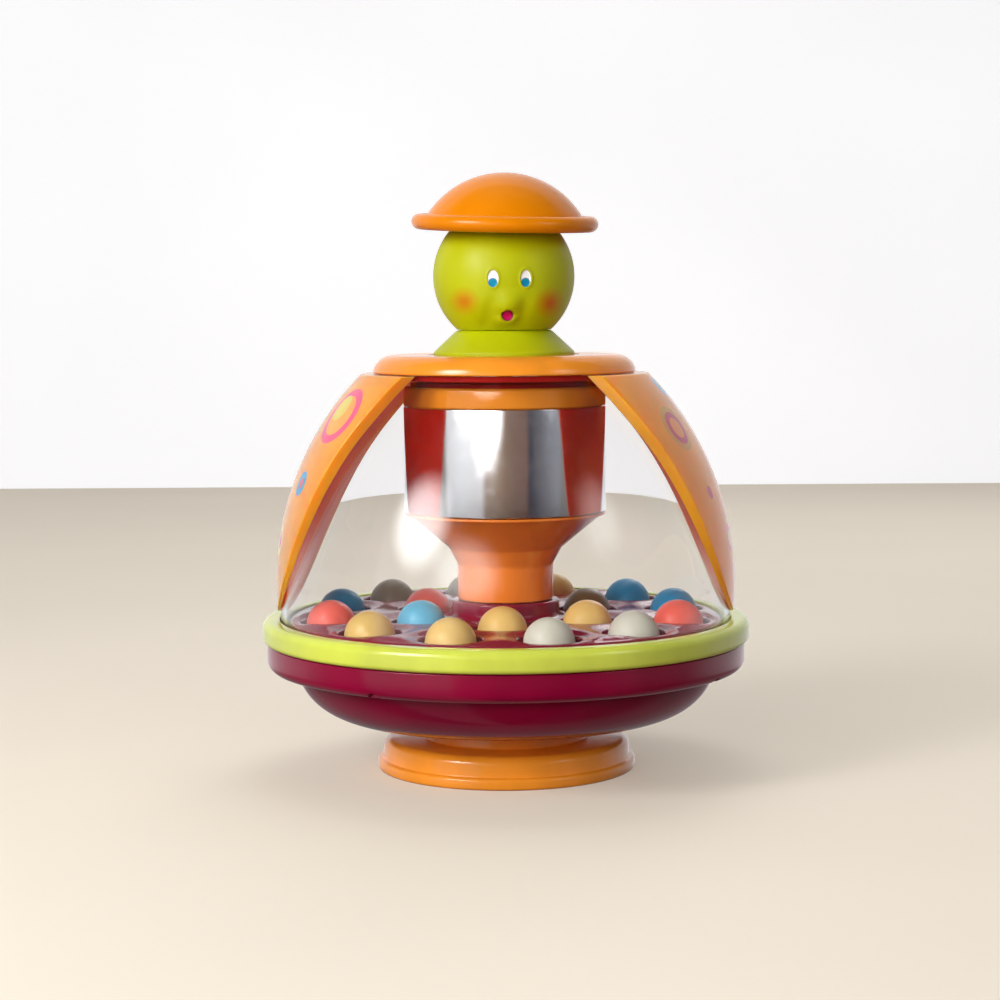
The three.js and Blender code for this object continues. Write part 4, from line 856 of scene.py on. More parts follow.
@dataclass
class Base(SubAssembly):
    """Foot, bowl, band and rim ring."""

    foot_height: float = 21.7
    foot_plate: float = 50.0
    foot_plate_z: float = 19.4
    foot_neck: float = 34.0
    foot_shelf: float = 50.6
    foot_shelf_z: float = 12.8
    foot_radius: float = 53.1
    foot_bead: float = 4.6
    foot_wall: float = 2.6
    bowl_flat: float = 60.0
    bowl_swell: float = 26.5
    bowl_curve: float = 23.5
    bowl_z: float = 22.0
    bowl_top: float = 41.8
    bowl_wall: float = 2.5
    band_z: float = 42.1
    band_top: float = 53.4
    band_radius: float = 98.0
    band_bore: float = 75.5
    band_wall: float = 2.6
    band_lip: float = 91.3
    band_lip_depth: float = 3.0
    band_haunch: float = 2.0
    notch_count: int = 4
    notch_first: float = -31.5
    notch_radius: float = 3.2
    notch_reach: float = 4.0
    notch_rise: float = 2.2
    ring_z: float = 53.7
    ring_top: float = 62.8
    ring_radius: float = 100.0
    ring_bore: float = 92.6
    ring_rebate: float = 95.3
    ring_rebate_z: float = 56.7

    def foot(self) -> Surface:
        """Hollow spool: a profile with filleted corners round the axis."""
        top, plate, plate_z, neck = self.foot_height, self.foot_plate, self.foot_plate_z, self.foot_neck
        shelf, shelf_z, edge, bead = self.foot_shelf, self.foot_shelf_z, self.foot_radius, self.foot_bead
        bore, hollow, hollow_z = (size - self.foot_wall for size in (neck, shelf, shelf_z))
        return revolve(rounded([
            (0, plate_z, 0), (bore, plate_z, 0.8), (bore, hollow_z, 0.8), (hollow, hollow_z, 1.2),
            (hollow, 0, 0.5), (edge, 0, 1.3), (edge, bead, 1.6), (shelf + 0.2, bead + 0.15, 0.5),
            (shelf, shelf_z, 3.4), (neck, shelf_z, 0.8), (neck, plate_z, 0.6), (plate, plate_z, 0.6),
            (plate, top, 0.6), (0, top, 0),
        ]))

    def bowl(self) -> Surface:
        """Flat floor and elliptical side: two concentric elliptical arcs round the axis."""
        middle = (self.bowl_flat, self.bowl_z + self.bowl_curve)
        below = middle[1] - self.bowl_top
        inner = (self.bowl_swell - self.bowl_wall, self.bowl_curve - self.bowl_wall)
        outer_end = -math.degrees(math.asin(below / self.bowl_curve))
        inner_end = -math.degrees(math.asin(below / inner[1]))
        outside = arc(middle, (self.bowl_swell, self.bowl_curve), -90, outer_end, 28)
        inside = arc(middle, inner, inner_end, -90, 20)
        profile = np.vstack([[(0, self.bowl_z)], outside, inside, [(0, self.bowl_z + self.bowl_wall)]])
        return revolve(profile)

    def band(self) -> bpy.types.Object:
        """Band with a ledge and a lip, and half-moon notches cut into its lower edge.

        Returns:
            The object, with the notches cut.
        """
        z, top, r, bore = self.band_z, self.band_top, self.band_radius, self.band_bore
        side, floor, haunch = r - self.band_wall, z + self.band_wall, self.band_haunch
        lip, lip_z = self.band_lip, top - self.band_lip_depth
        item = revolve(rounded([
            (bore, z, 0.5), (r, z, 4.0), (r, top, 0.6), (lip, top, 0.3), (lip, lip_z, 0.3),
            (side, lip_z - (side - lip) / 2, 0.4), (side, floor + haunch, 0.6),
            (side - haunch, floor, 0.8), (bore, floor, 0.5),
        ], 6)).to_object("band_moulding")
        for index in range(self.notch_count):
            cut_by(item, self.notch_roller(self.notch_first + 360 / self.notch_count * index))
        return item

    def notch_roller(self, degrees: float) -> bpy.types.Object:
        """Roller that cuts one notch: a profile round its own axis, laid down along a radius.

        Args:
            degrees: the notch's azimuth.

        Returns:
            The object.
        """
        r, reach = self.notch_radius, self.notch_reach
        upright = revolve(rounded([(0, -reach, 0), (r, -reach, 0.5), (r, reach, 0), (0, reach, 0)]), 48)
        across, height, along = upright.points.T
        turn = math.radians(degrees)
        out = self.band_radius - along
        points = np.stack([
            out * math.sin(turn) + across * math.cos(turn),
            across * math.sin(turn) - out * math.cos(turn),
            self.band_z + self.notch_rise - r + height,
        ], axis=1)
        return Surface(points, upright.quads).turned_over().to_object(f"notch_{degrees:.0f}")

    def ring(self) -> Surface:
        """Rounded ring with a rebate: a filleted profile round the axis."""
        z, top, r = self.ring_z, self.ring_top, self.ring_radius
        bore, rebate, rebate_z = self.ring_bore, self.ring_rebate, self.ring_rebate_z
        return revolve(rounded([
            (rebate, z, 0.3), (r, z, 1.9), (r, top, 3.5), (bore, top, 0.8), (bore, rebate_z, 0.2),
            (rebate, rebate_z, 0.2),
        ], 8), 192)

    def build(self, nodes: dict[str, bpy.types.Object]) -> None:
        """Makes and dresses the base's pieces."""
        self.piece("foot_moulding", self.foot(), ORANGE, Slot.ORANGE, "base_foot")
        self.piece("bowl_moulding", self.bowl(), MAROON, Slot.MAROON, "lower_bowl")
        self.piece("band_moulding", self.band(), MAROON, Slot.MAROON, "upper_band")
        self.piece("ring_moulding", self.ring(), RING_LIME, Slot.RING, "rim_ring")
        screws = Screws()
        screws.three("foot", 9.8, circle=20.0, first_deg=0, height=19.1, head_below=True, body=self.body)
        screws.three("band", 7.6, circle=80.0, first_deg=18, height=45.0, head_below=False, body=self.body)
        for name in ("axle_tube", "axle_cap"):
            self.dressed(nodes[name], NYLON)
        self.dressed(nodes["thrust_washer"], STEEL)


def cut_by(item: bpy.types.Object, cutter: bpy.types.Object) -> None:
    """Cuts one object by another and removes the cutter.

    Args:
        item: the object that is cut; its mesh is replaced.
        cutter: the object that is cut away.
    """
    cut = item.modifiers.new("cut", "BOOLEAN")
    cut.operation = "DIFFERENCE"
    cut.solver = "EXACT"
    cut.object = cutter
    modified(item)
    bpy.data.objects.remove(cutter)


@dataclass
class WallArc:
    """A wall's arc that is upright at its belt and leans in to its top."""

    belt_radius: float
    belt_z: float
    top_radius: float
    top_z: float
    middle: float = field(init=False)
    radius: float = field(init=False)

    def __post_init__(self) -> None:
        """Works out the arc's middle and radius from its two ends."""
        rise = self.top_z - self.belt_z
        gap = self.belt_radius - self.top_radius
        self.middle = (self.belt_radius**2 - self.top_radius**2 - rise**2) / (2 * gap)
        self.radius = self.belt_radius - self.middle

    def at(self, z: np.ndarray) -> np.ndarray:
        """The wall's radius at heights: r = m + sqrt(R^2 - (z - belt)^2)."""
        return self.middle + np.sqrt(self.radius**2 - (z - self.belt_z) ** 2)


@dataclass
class Dome(SubAssembly):
    """Clear dome, its petals and the cap on top."""

    foot_z: float = 53.7
    top_z: float = 162.4
    wall: float = 2.0
    flange: float = 95.0
    flange_top: float = 56.4
    shell: WallArc = field(default_factory=lambda: WallArc(92.3, 66.0, 52.0, 162.4))
    face: WallArc = field(default_factory=lambda: WallArc(94.0, 76.0, 58.6, 162.4))
    seat_gap: float = 0.3
    petal_tip: float = 65.0
    petal_tip_half: float = 4.0
    petal_half: float = 49.8
    petal_top_half: float = 45.3
    petal_wide_drop: float = 22.4
    petal_power: float = 2.45
    petal_turn: float = -2.0
    petal_round: float = 0.6
    petal_chamfer: float = 1.8
    # Painted shade: the redder colour of the petals' inner faces, standing in for the shade inside them.
    inner_face: Colour = (246, 108, 70)
    cap_z: float = 162.7
    cap_top: float = 170.0
    cap_foot: float = 53.3
    cap_seat: float = 45.0
    cap_shoulder: float = 8.6
    cap_hole: float = 30.7
    cap_collar: float = 32.9
    cap_collar_z: float = 163.0
    cap_ceiling: float = 167.6
    cap_slope: float = 2.4
    retainer_bore: float = 44.83
    retainer_radius: float = 48.83
    retainer_z: float = 159.5

    def clear_shell(self) -> Surface:
        """Even wall between two arcs round the axis, with a flange at its foot."""
        top = math.degrees(math.asin((self.top_z - self.shell.belt_z) / self.shell.radius))
        middle = (self.shell.middle, self.shell.belt_z)
        inner = self.shell.radius - self.wall
        inner_top = math.degrees(math.asin((self.top_z - self.shell.belt_z) / inner))
        outside = arc(middle, (self.shell.radius,) * 2, 0, top, 48)
        inside = arc(middle, (inner,) * 2, inner_top, 0, 48)
        belt, edge, low, high = self.shell.belt_radius, self.flange, self.foot_z, self.flange_top
        foot = [(belt - self.wall, low, 0.3), (edge, low, 0.5), (edge, high, 0.5), (belt, high, 0.6)]
        return revolve(rounded(foot + plain(outside) + plain(inside)), 192)

    def half_chord(self, z: np.ndarray) -> np.ndarray:
        """Half the petal's width at heights: a superellipse below its widest place, a parabola above."""
        wide = self.top_z - self.petal_wide_drop
        above = np.clip((z - wide) / self.petal_wide_drop, 0, 1)
        below = np.clip((wide - z) / (wide - self.petal_tip), 0, 1)
        upper = self.petal_half - (self.petal_half - self.petal_top_half) * above**2
        lower = self.petal_half * (1 - below**self.petal_power) ** (1 / self.petal_power)
        return np.maximum(np.where(z > wide, upper, lower), self.petal_tip_half)

    def petal(self, middle_deg: float) -> Surface:
        """Petal shell on the dome's side with rounded edges.

        Each height has a closed loop: along the outer face, round the edge, down the leaning side
        wall to the dome, along the inner face and back. The loops shrink over a quarter circle at
        both ends, and close on the middle of the wall.

        Args:
            middle_deg: azimuth of the petal's middle.

        Returns:
            The surface.
        """
        f = self.petal_round
        quarter = np.linspace(0, np.pi / 2, 5)[:-1]
        rise, sink = f * (1 - np.cos(quarter)), f * (1 - np.sin(quarter))
        share = (1 - np.cos(np.linspace(0, np.pi, 80))) / 2
        body = self.petal_tip + f + (self.top_z - self.petal_tip - 2 * f) * share
        heights = np.concatenate([self.petal_tip + rise, body, self.top_z - rise[::-1]])
        inset = np.concatenate([sink, np.zeros(len(body)), sink[::-1]])
        face = self.face.at(heights)
        inner = self.seat_radius(heights) + inset
        outer = np.maximum(face, inner + 0.5) - inset
        angle = np.arcsin(np.clip(self.half_chord(heights) / face, 0, 1)) - inset / outer
        inner, outer, angle = inner[:, None], outer[:, None], angle[:, None]
        turn = np.linspace(0, np.pi / 2, 5)
        across = np.linspace(-1, 1, 41)
        bend = np.minimum(f, 0.35 * (outer - inner))
        side, lift = bend * (1 - np.cos(turn)), bend * (1 - np.sin(turn))
        brow = angle - self.petal_chamfer / outer
        shape = (len(heights), len(across))
        parts = [
            ((brow - bend / outer) * across, np.broadcast_to(outer, shape)),
            (brow - side[:, ::-1] / outer, outer - lift[:, ::-1]),
            (angle - side / inner, inner + lift),
            ((angle - bend / outer) * -across, np.broadcast_to(inner, shape)),
            (side[:, ::-1] / inner - angle, inner + lift[:, ::-1]),
            (side / outer - brow, outer - lift),
        ]
        around_axis = np.concatenate([part[0] for part in parts], axis=1) + math.radians(middle_deg)
        radius = np.concatenate([part[1] for part in parts], axis=1)
        height = np.broadcast_to(heights[:, None], radius.shape)
        points = np.stack([radius * np.sin(around_axis), -radius * np.cos(around_axis), height], axis=-1)
        ends = np.broadcast_to((outer + inner) / 2, radius.shape)
        closing = np.stack([ends * np.sin(around_axis), -ends * np.cos(around_axis), height], axis=-1)
        rows = np.concatenate([closing[:1], points, closing[-1:]], axis=0)
        return grid(rows, wrap_v=True).turned_over()

    def seat_radius(self, z: np.ndarray) -> np.ndarray:
        """The petal's inner radius at heights, just off the dome, which is upright below its belt."""
        return self.shell.at(np.maximum(z, self.shell.belt_z)) + self.seat_gap

    def petal_finish(self, name: str, spots: list[Spot]) -> PrintedPlastic:
        """The petals' finish: the cap's orange with printed spots and a red inner face of painted shade.

        Args:
            name: the finish's name.
            spots: azimuth, height, radius and ink of each spot.

        Returns:
            The finish.
        """
        prints = tuple(
            Print(around(float(self.face.at(np.array(z))), azimuth, z), radius, ink.value)
            for azimuth, z, radius, ink in spots
        )
        return PrintedPlastic(name, ORANGE.colour, ORANGE.roughness, ORANGE.coat, shine=ORANGE.shine,
                              glow=0.85, prints=prints, inner_face=self.inner_face)

    def cap(self) -> Surface:
        """Ring cap: a rounded shoulder and a collar round the neck's hole, round the axis."""
        z, top, seat, slope = self.cap_z, self.cap_top, self.cap_seat, self.cap_slope
        hole, collar, collar_z, ceiling = self.cap_hole, self.cap_collar, self.cap_collar_z, self.cap_ceiling
        shoulder = arc((seat, z), (self.cap_shoulder, top - z), 0, 90, 20)
        return revolve(rounded([
            (seat, z, 0.4), (self.cap_foot, z, 0.3), *plain(shoulder)[1:], (hole, top, 0.7),
            (hole, collar_z, 0.4), (collar, collar_z, 0.4), (collar, ceiling, 0.4),
            (seat - slope, ceiling, 0.5), (seat, ceiling - slope, 0.5),
        ]))

    def retainer(self) -> Surface:
        """Ring that centres the cap in the dome: a filleted profile round the axis."""
        bore, radius, low, high = self.retainer_bore, self.retainer_radius, self.retainer_z, self.top_z
        return revolve(rounded([
            (bore, low, 0.5), (radius, low, 0.5), (radius, high, 0.3), (bore, high, 0.3),
        ]))

    def mark_depth(self, petal: bpy.types.Object) -> bpy.types.Object:
        """Writes how deep points lie in the petal's wall, 0 on its outer and 1 on its inner face."""
        points = np.empty(3 * len(petal.data.vertices))
        petal.data.vertices.foreach_get("co", points)
        x, y, z = points.reshape(-1, 3).T / MM
        outer, inner = self.face.at(z), self.seat_radius(z)
        depth = petal.data.attributes.new("depth", "FLOAT", "POINT")
        depth.data.foreach_set("value", (outer - np.hypot(x, y)) / (outer - inner))
        return petal

    def build(self) -> None:
        """Makes and dresses the dome's pieces."""
        left = self.petal_finish("left_petal_print_and_shade", [
            (-65.7, 146.9, 13.0, Ink.PINK), (-65.7, 146.9, 9.3, Ink.APRICOT), (-68.5, 149.6, 6.0, Ink.YELLOW),
            (-70.9, 119.7, 5.2, Ink.BLUE), (-70.9, 119.7, 2.3, Ink.ROSE),
            (-80.0, 96.0, 6.2, Ink.YELLOW), (-80.0, 96.0, 3.8, Ink.PINK),
            (-102.0, 140.0, 8.0, Ink.BLUE), (-102.0, 140.0, 4.6, Ink.YELLOW),
            (-108.0, 113.0, 9.5, Ink.PINK), (-108.0, 113.0, 6.2, Ink.APRICOT),
            (-98.0, 84.0, 4.4, Ink.BLUE), (-122.0, 148.0, 5.2, Ink.ROSE), (-118.0, 92.0, 3.4, Ink.YELLOW),
        ])
        right = self.petal_finish("right_petal_print_and_shade", [
            (64.9, 141.3, 10.2, Ink.OLIVE), (64.9, 141.3, 7.4, Ink.ROSE), (64.9, 141.3, 4.6, Ink.AMBER),
            (68.4, 115.5, 2.8, Ink.ROSE), (79.0, 157.0, 5.0, Ink.BLUE),
            (78.0, 96.0, 6.0, Ink.PINK), (78.0, 96.0, 3.2, Ink.YELLOW),
            (100.0, 134.0, 12.0, Ink.PINK), (100.0, 134.0, 8.4, Ink.APRICOT), (100.0, 136.0, 5.2, Ink.YELLOW),
            (106.0, 104.0, 6.4, Ink.BLUE), (106.0, 104.0, 3.0, Ink.ROSE),
            (118.0, 144.0, 4.6, Ink.ROSE), (90.0, 78.0, 3.4, Ink.BLUE),
        ])
        left_petal = self.mark_depth(self.petal(self.petal_turn - 90).to_object("left_petal"))
        right_petal = self.mark_depth(self.petal(self.petal_turn + 90).to_object("right_petal"))
        self.piece("dome_shell", self.clear_shell(), CLEAR, Slot.CLEAR, "clear_dome")
        self.piece("left_petal", left_petal, left, Slot.ORANGE, "left_panel")
        self.piece("right_petal", right_petal, right, Slot.ORANGE, "right_panel")
        self.piece("cap_moulding", self.cap(), ORANGE, Slot.ORANGE, "top_cap")
        # The retainer's dark red is painted shade.
        self.piece("cap_clip_ring", self.retainer(), PAINTED_SHADE_RED, Slot.MAROON, "cap_retainer")


@dataclass
class Turntable(SubAssembly):
    """Tray of pockets, column, mirrored drum and its lid."""

    body: Body = Body.TURNTABLE
    tray_radius: float = 88.5
    tray_top: float = 62.8
    tray_wall: float = 1.8
    edge_round: float = 1.2
    edge_drop: float = 4.5
    pocket_radius: float = 12.5
    pocket_middle: float = 63.5
    pocket_round: float = 0.9
    pocket_rim_deg: float = 8.0
    hub_radius: float = 22.0
    hub_flare: float = 2.5
    hub_top: float = 69.5
    hub_bore: float = 12.3
    hub_foot: float = 55.8
    hub_rounds: Range = (1.0, 0.4)
    outer_circle: float = 72.5
    outer_first: float = 13.0
    inner_circle: float = 38.7
    inner_first: float = -2.0
    ridge_rise: float = 1.5
    ridge_spread: float = 3.4
    ridge_step: float = 2.0
    column_radius: float = 19.6
    column_z: float = 69.8
    column_top: float = 105.7
    drum_radius: float = 41.3
    drum_z: float = 106.0
    sleeve_bore: float = 40.1
    sleeve_top: float = 148.7
    lid_z: float = 149.0
    lid_top: float = 157.0
    lid_seat: float = 155.5
    disc_z: Range = (155.8, 158.4)
    rod_bore: float = 4.62

    def places(self) -> list[Point]:
        """Middles of the pockets: twelve outside, then six inside."""
        outer = [around(self.outer_circle, self.outer_first + 30 * i, 0) for i in range(12)]
        inner = [around(self.inner_circle, self.inner_first + 60 * i, 0) for i in range(6)]
        return outer + inner

    def pocket(self) -> np.ndarray:
        """Half of a dish's profile, from its bottom up to the flat, rolled over at its rim."""
        bend = arc((0, self.pocket_middle), (self.pocket_radius,) * 2, -90, -self.pocket_rim_deg, 22)
        bend[0, 0] = 0
        middle = (self.pocket_rim(), self.tray_top - self.pocket_round)
        roll = arc(middle, (self.pocket_round,) * 2, 180 - self.pocket_rim_deg, 90, 5)
        return np.vstack([bend, roll])

    def pocket_rim(self) -> float:
        """Radius at which a dish's rolled rim meets the flat."""
        return self.pocket_radius * math.cos(math.radians(self.pocket_rim_deg)) + self.pocket_round

    def clearance(self, flat: np.ndarray) -> np.ndarray:
        """Distance of points on the flat from the nearest pocket, hub or edge, negative within them.

        Args:
            flat: their places in plan.

        Returns:
            The distances.
        """
        reach = np.hypot(*flat.T)
        middles = np.array(self.places())[:, :2]
        pockets = np.linalg.norm(flat[:, None] - middles[None], axis=2).min(axis=1) - self.pocket_rim()
        hub = reach - self.hub_radius - self.hub_flare
        return np.minimum.reduce([pockets, hub, self.tray_radius - self.edge_round - reach])

    def flat(self, sides: int) -> Surface:
        """Tray between hub, edge and pockets, as a triangulated sheet with rounded ridges.

        Its height over the pockets' rims is rise (1 - exp(-(d / spread)^2)), where d is the distance
        from the nearest pocket, hub or edge.

        Args:
            sides: points round each pocket.

        Returns:
            The surface, each triangle a quad with one corner twice.
        """
        edge, hub = self.tray_radius - self.edge_round, self.hub_radius + self.hub_flare
        angle = np.linspace(0, 2 * np.pi, 144, endpoint=False)
        ring = np.stack([np.sin(angle), -np.cos(angle)], axis=1)
        hole_angle = np.linspace(0, 2 * np.pi, sides, endpoint=False)
        hole = self.pocket_rim() * np.stack([np.sin(hole_angle), -np.cos(hole_angle)], axis=1)
        loops = [edge * ring, hub * ring] + [hole + np.array(place[:2]) for place in self.places()]
        starts = np.cumsum([0] + [len(loop) for loop in loops])
        edges = np.vstack([
            np.stack([np.arange(len(loop)), (np.arange(len(loop)) + 1) % len(loop)], axis=1) + start
            for loop, start in zip(loops, starts)
        ])
        span = np.arange(-edge, edge, self.ridge_step)
        between = np.stack(np.meshgrid(span, span), axis=-1).reshape(-1, 2)
        between = between[self.clearance(between) > self.ridge_step / 2]
        flat_points = [Vector(point) for point in np.vstack([*loops, between])]
        points, _, faces, _, _, _ = geometry.delaunay_2d_cdt(flat_points, edges.tolist(), [], 0, 1e-6)
        places = np.array([tuple(point) for point in points])
        corners = np.array([face for face in faces if len(face) == 3])
        corners = corners[self.clearance(places[corners].mean(axis=1)) > 0]
        away = np.maximum(self.clearance(places), 0)
        ridge = self.ridge_rise * (1 - np.exp(-((away / self.ridge_spread) ** 2)))
        sheet = np.column_stack([places, self.tray_top + ridge])
        a, b, c = (sheet[corners[:, i]] for i in range(3))
        up = np.cross(b - a, c - a)[:, 2] > 0
        corners = np.where(up[:, None], corners, corners[:, ::-1])
        return Surface(sheet, np.column_stack([corners, corners[:, 2]]))

    def tray(self) -> bpy.types.Object:
        """Tray sheet of flat, dishes, hub and down-turned edge, thickened downwards.

        Returns:
            The object with its wall's thickness applied.
        """
        sides = 48
        sheet = self.flat(sides)
        for place in self.places():
            sheet = sheet.plus(revolve(self.pocket(), sides, closed=False).turned_over().moved(place))
        top, lip, flare = self.tray_top, self.edge_round, self.hub_flare
        shoulder, mouth = self.hub_rounds
        edge = np.vstack([
            [(self.tray_radius, top - self.edge_drop)],
            arc((self.tray_radius - lip, top - lip), (lip, lip), 0, 90, 5),
        ])
        hub = np.vstack([
            arc((self.hub_radius + flare, top + flare), (flare, flare), 270, 180, 6),
            arc((self.hub_radius - shoulder, self.hub_top - shoulder), (shoulder, shoulder), 0, 90, 5),
            arc((self.hub_bore + mouth, self.hub_top - mouth), (mouth, mouth), 90, 180, 3),
            [(self.hub_bore, self.hub_foot)],
        ])
        sheet = sheet.plus(revolve(edge, closed=False)).plus(revolve(hub, closed=False))
        item = sheet.to_object("tray_moulding")
        wall = item.modifiers.new("wall", "SOLIDIFY")
        wall.thickness = self.tray_wall * MM
        wall.offset = -1.0
        wall.use_even_offset = False
        return modified(item)

    def column(self) -> Surface:
        """Funnel that carries the drum: a filleted profile round the axis."""
        bore, low, high, edge = self.hub_bore, self.column_z, self.column_top, self.drum_radius
        return revolve(rounded([
            (bore, low, 0.3), (self.column_radius, low, 0.7), (19.75, 84.3, 5.0), (23.4, 91.0, 4.0),
            (39.9, 104.6, 0.4), (edge, 104.6, 0.35), (edge, high, 0.35), (bore, high, 0.3),
            (bore, 103.2, 0.3), (35.4, 103.2, 1.5), (21.2, 91.6, 3.0), (17.5, 84.3, 3.0),
            (17.4, 73.0, 0.8), (bore, 73.0, 0.3),
        ], 7))

    def tube(self, bore: float, radius: float, low: float, high: float) -> Surface:
        """Plain ring with softened edges, round the axis.

        Args:
            bore: its inner radius.
            radius: its outer radius.
            low: height of its underside.
            high: height of its top.

        Returns:
            The surface.
        """
        corners = [(bore, low), (radius, low), (radius, high), (bore, high)]
        return revolve(rounded([(r, z, 0.3) for r, z in corners]))

    def sleeve(self) -> Surface:
        """Mirrored tube with a slightly uneven lower edge.

        The wall's two radii go round the axis, and the lower edge's height varies as a sum of sines.
        """
        bore, radius = self.sleeve_bore, self.drum_radius
        low, waist, high = self.drum_z, 127.0, self.sleeve_top
        made = revolve(rounded([
            (bore, low, 0.3), (radius, low, 0.3), (radius, waist, 0), (radius, high, 0.3), (bore, high, 0.3),
            (bore, waist, 0),
        ]), 192)
        x, y, z = made.points.T
        angle = np.arctan2(x, -y)
        ripple = 0.09 * np.sin(7 * angle) + 0.06 * np.sin(13 * angle + 1.0) + 0.15
        made.points[:, 2] = np.where(z < waist - 1, z + ripple, z)
        return made

    def lid(self) -> Surface:
        """Drum lid with a spigot and a seat for its disc: a filleted profile round the axis."""
        edge, low, high, seat = self.drum_radius, self.lid_z, self.lid_top, self.lid_seat
        ceiling, spigot_z, bore = 154.1, 144.7, self.rod_bore
        return revolve(rounded([
            (39.8, low, 0.2), (edge, low, 0.5), (edge, high, 1.8), (38.7, high, 0.4), (38.7, seat, 0.2),
            (bore, seat, 0.3), (bore, ceiling, 0.3), (37.6, ceiling, 0.8), (37.6, spigot_z, 0.4),
            (39.8, spigot_z, 0.4),
        ]))

    def clutch_housing(self) -> Surface:
        """Housing for nut and clutch under the lid: a filleted profile round the axis."""
        mouth, edge, chamber, bore = 13.0, 16.0, 9.8, self.rod_bore
        low, ledge, ceiling, high = 136.9, 139.4, 149.0, 153.8
        return revolve(rounded([
            (mouth, low, 0.3), (edge, low, 0.5), (edge, high, 0.5), (bore, high, 0.3), (bore, ceiling, 0.3),
            (chamber, ceiling, 0.4), (chamber, ledge, 0.2), (mouth, ledge, 0.3),
        ]))

    def build(self, nodes: dict[str, bpy.types.Object]) -> None:
        """Makes and dresses the turntable's pieces."""
        self.piece("tray_moulding", self.tray(), MAROON, Slot.MAROON, "ball_tray")
        self.piece("column_moulding", self.column(), COLUMN_ORANGE, Slot.ORANGE, "column")
        self.piece("drum_film_sleeve", self.sleeve(), MIRROR, Slot.MIRROR, "mirror_sleeve")
        self.piece("drum_lid", self.lid(), ORANGE, Slot.ORANGE, "drum_cap")
        disc = self.tube(self.rod_bore, 38.4, *self.disc_z)
        seat = self.tube(37.6, 39.8, self.drum_z, 110.0)
        holder = self.tube(self.hub_bore, 14.5, self.drum_z, 126.5)
        # The lid disc's dark red is painted shade.
        self.piece("lid_disc", disc, PAINTED_SHADE_RED, Slot.MAROON, "drum_disc")
        self.piece("sleeve_seat", seat, ORANGE, Slot.ORANGE, "drum_seat")
        self.piece("bush_holder", holder, ORANGE, Slot.ORANGE, "drum_hub")
        self.piece("ratchet_housing", self.clutch_housing(), NYLON, Slot.NYLON, "clutch_housing")
        screws = Screws(radius=1.3, head=2.4, recess=0.9)
        screws.three("column", 6.2, circle=17.15, first_deg=0, height=66.2, head_below=True, body=self.body)
        for name in ("lower_bush", "upper_bush", "clutch_ring"):
            self.dressed(nodes[name], NYLON)


@dataclass
class Drive(SubAssembly):
    """Twisted rod with its foot, the nut and the return spring."""

    body: Body = Body.PLUNGER
    rod_side: float = 5.4
    rod_round: float = 0.6
    rod_z: float = 123.0
    rod_top: float = 179.5
    twist_z: float = 136.6
    twist_top: float = 161.6
    lead: float = 20.0
    spring_z: float = 77.4
    spring_length: float = 42.0
    spring_mean: float = 3.4
    spring_wire: float = 0.5
    spring_turns: int = 9
    press: float = 10.0

    def rod(self) -> Surface:
        """Rounded square bar, turned evenly with height between two straight ends.

        The section is a square with rounded corners, in polar form. Its turn at height z is
        2 pi (z - top of the twist) / lead, held constant above and below the twist.

        Returns:
            The surface.
        """
        corner = self.rod_round
        half = self.rod_side / 2 - corner
        turn = np.linspace(0, np.pi / 2, 5)
        quarter = np.stack([half + corner * np.cos(turn), half + corner * np.sin(turn)], axis=1)
        spins = [np.array([[math.cos(a), -math.sin(a)], [math.sin(a), math.cos(a)]])
                 for a in (0, np.pi / 2, np.pi, 1.5 * np.pi)]
        section = np.vstack([quarter @ spin.T for spin in spins])
        z = np.concatenate([[self.rod_z], np.linspace(self.twist_z, self.twist_top, 130), [self.rod_top]])
        angle = 2 * np.pi * (np.clip(z, self.twist_z, self.twist_top) - self.twist_top) / self.lead
        cos, sin = np.cos(angle)[:, None], np.sin(angle)[:, None]
        x, y = section[None, :, 0], section[None, :, 1]
        points = np.stack(np.broadcast_arrays(x * cos - y * sin, x * sin + y * cos, z[:, None]), axis=-1)
        ends = points * np.array([0, 0, 1])
        return grid(np.concatenate([ends[:1], points, ends[-1:]]), wrap_v=True).turned_over()

    def spring(self) -> Surface:
        """Round wire carried along a helix, closed at both ends.

        The wire's middle is at (mean sin a, -mean cos a, rise a); each ring of points is offset from
        it by the wire's radius along the outward direction and up.
        """
        steps, sides = self.spring_turns * 28, 10
        mean, wire = self.spring_mean, self.spring_wire
        angle = np.linspace(0, 2 * np.pi * self.spring_turns, steps + 1)[:, None]
        rise = (self.spring_length - 2 * wire) * np.linspace(0, 1, steps + 1)[:, None]
        height = self.spring_z + wire + rise
        turn = np.linspace(0, 2 * np.pi, sides, endpoint=False)[None, :]
        radius, z = mean + wire * np.cos(turn), height + wire * np.sin(turn)
        points = np.stack([radius * np.sin(angle), -radius * np.cos(angle), z], axis=-1)
        middle = np.stack([mean * np.sin(angle), -mean * np.cos(angle), height], axis=-1)
        ends = np.broadcast_to(middle, points.shape)
        return grid(np.concatenate([ends[:1], points, ends[-1:]]), wrap_v=True)

    def build(self, nodes: dict[str, bpy.types.Object]) -> None:
        """Makes and dresses the drive's pieces."""
        self.piece("twisted_rod", self.rod(), ORANGE, Slot.ORANGE, "push_rod")
        spring = self.piece("spring_wire", self.spring(), STEEL, Slot.STEEL, "return_spring",
                            body=Body.HOUSING.value)
        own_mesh(spring)
        for name in ("rod_foot", "drive_nut"):
            self.dressed(nodes[name], NYLON)
        self.dressed(nodes["foot_pin"], STEEL)


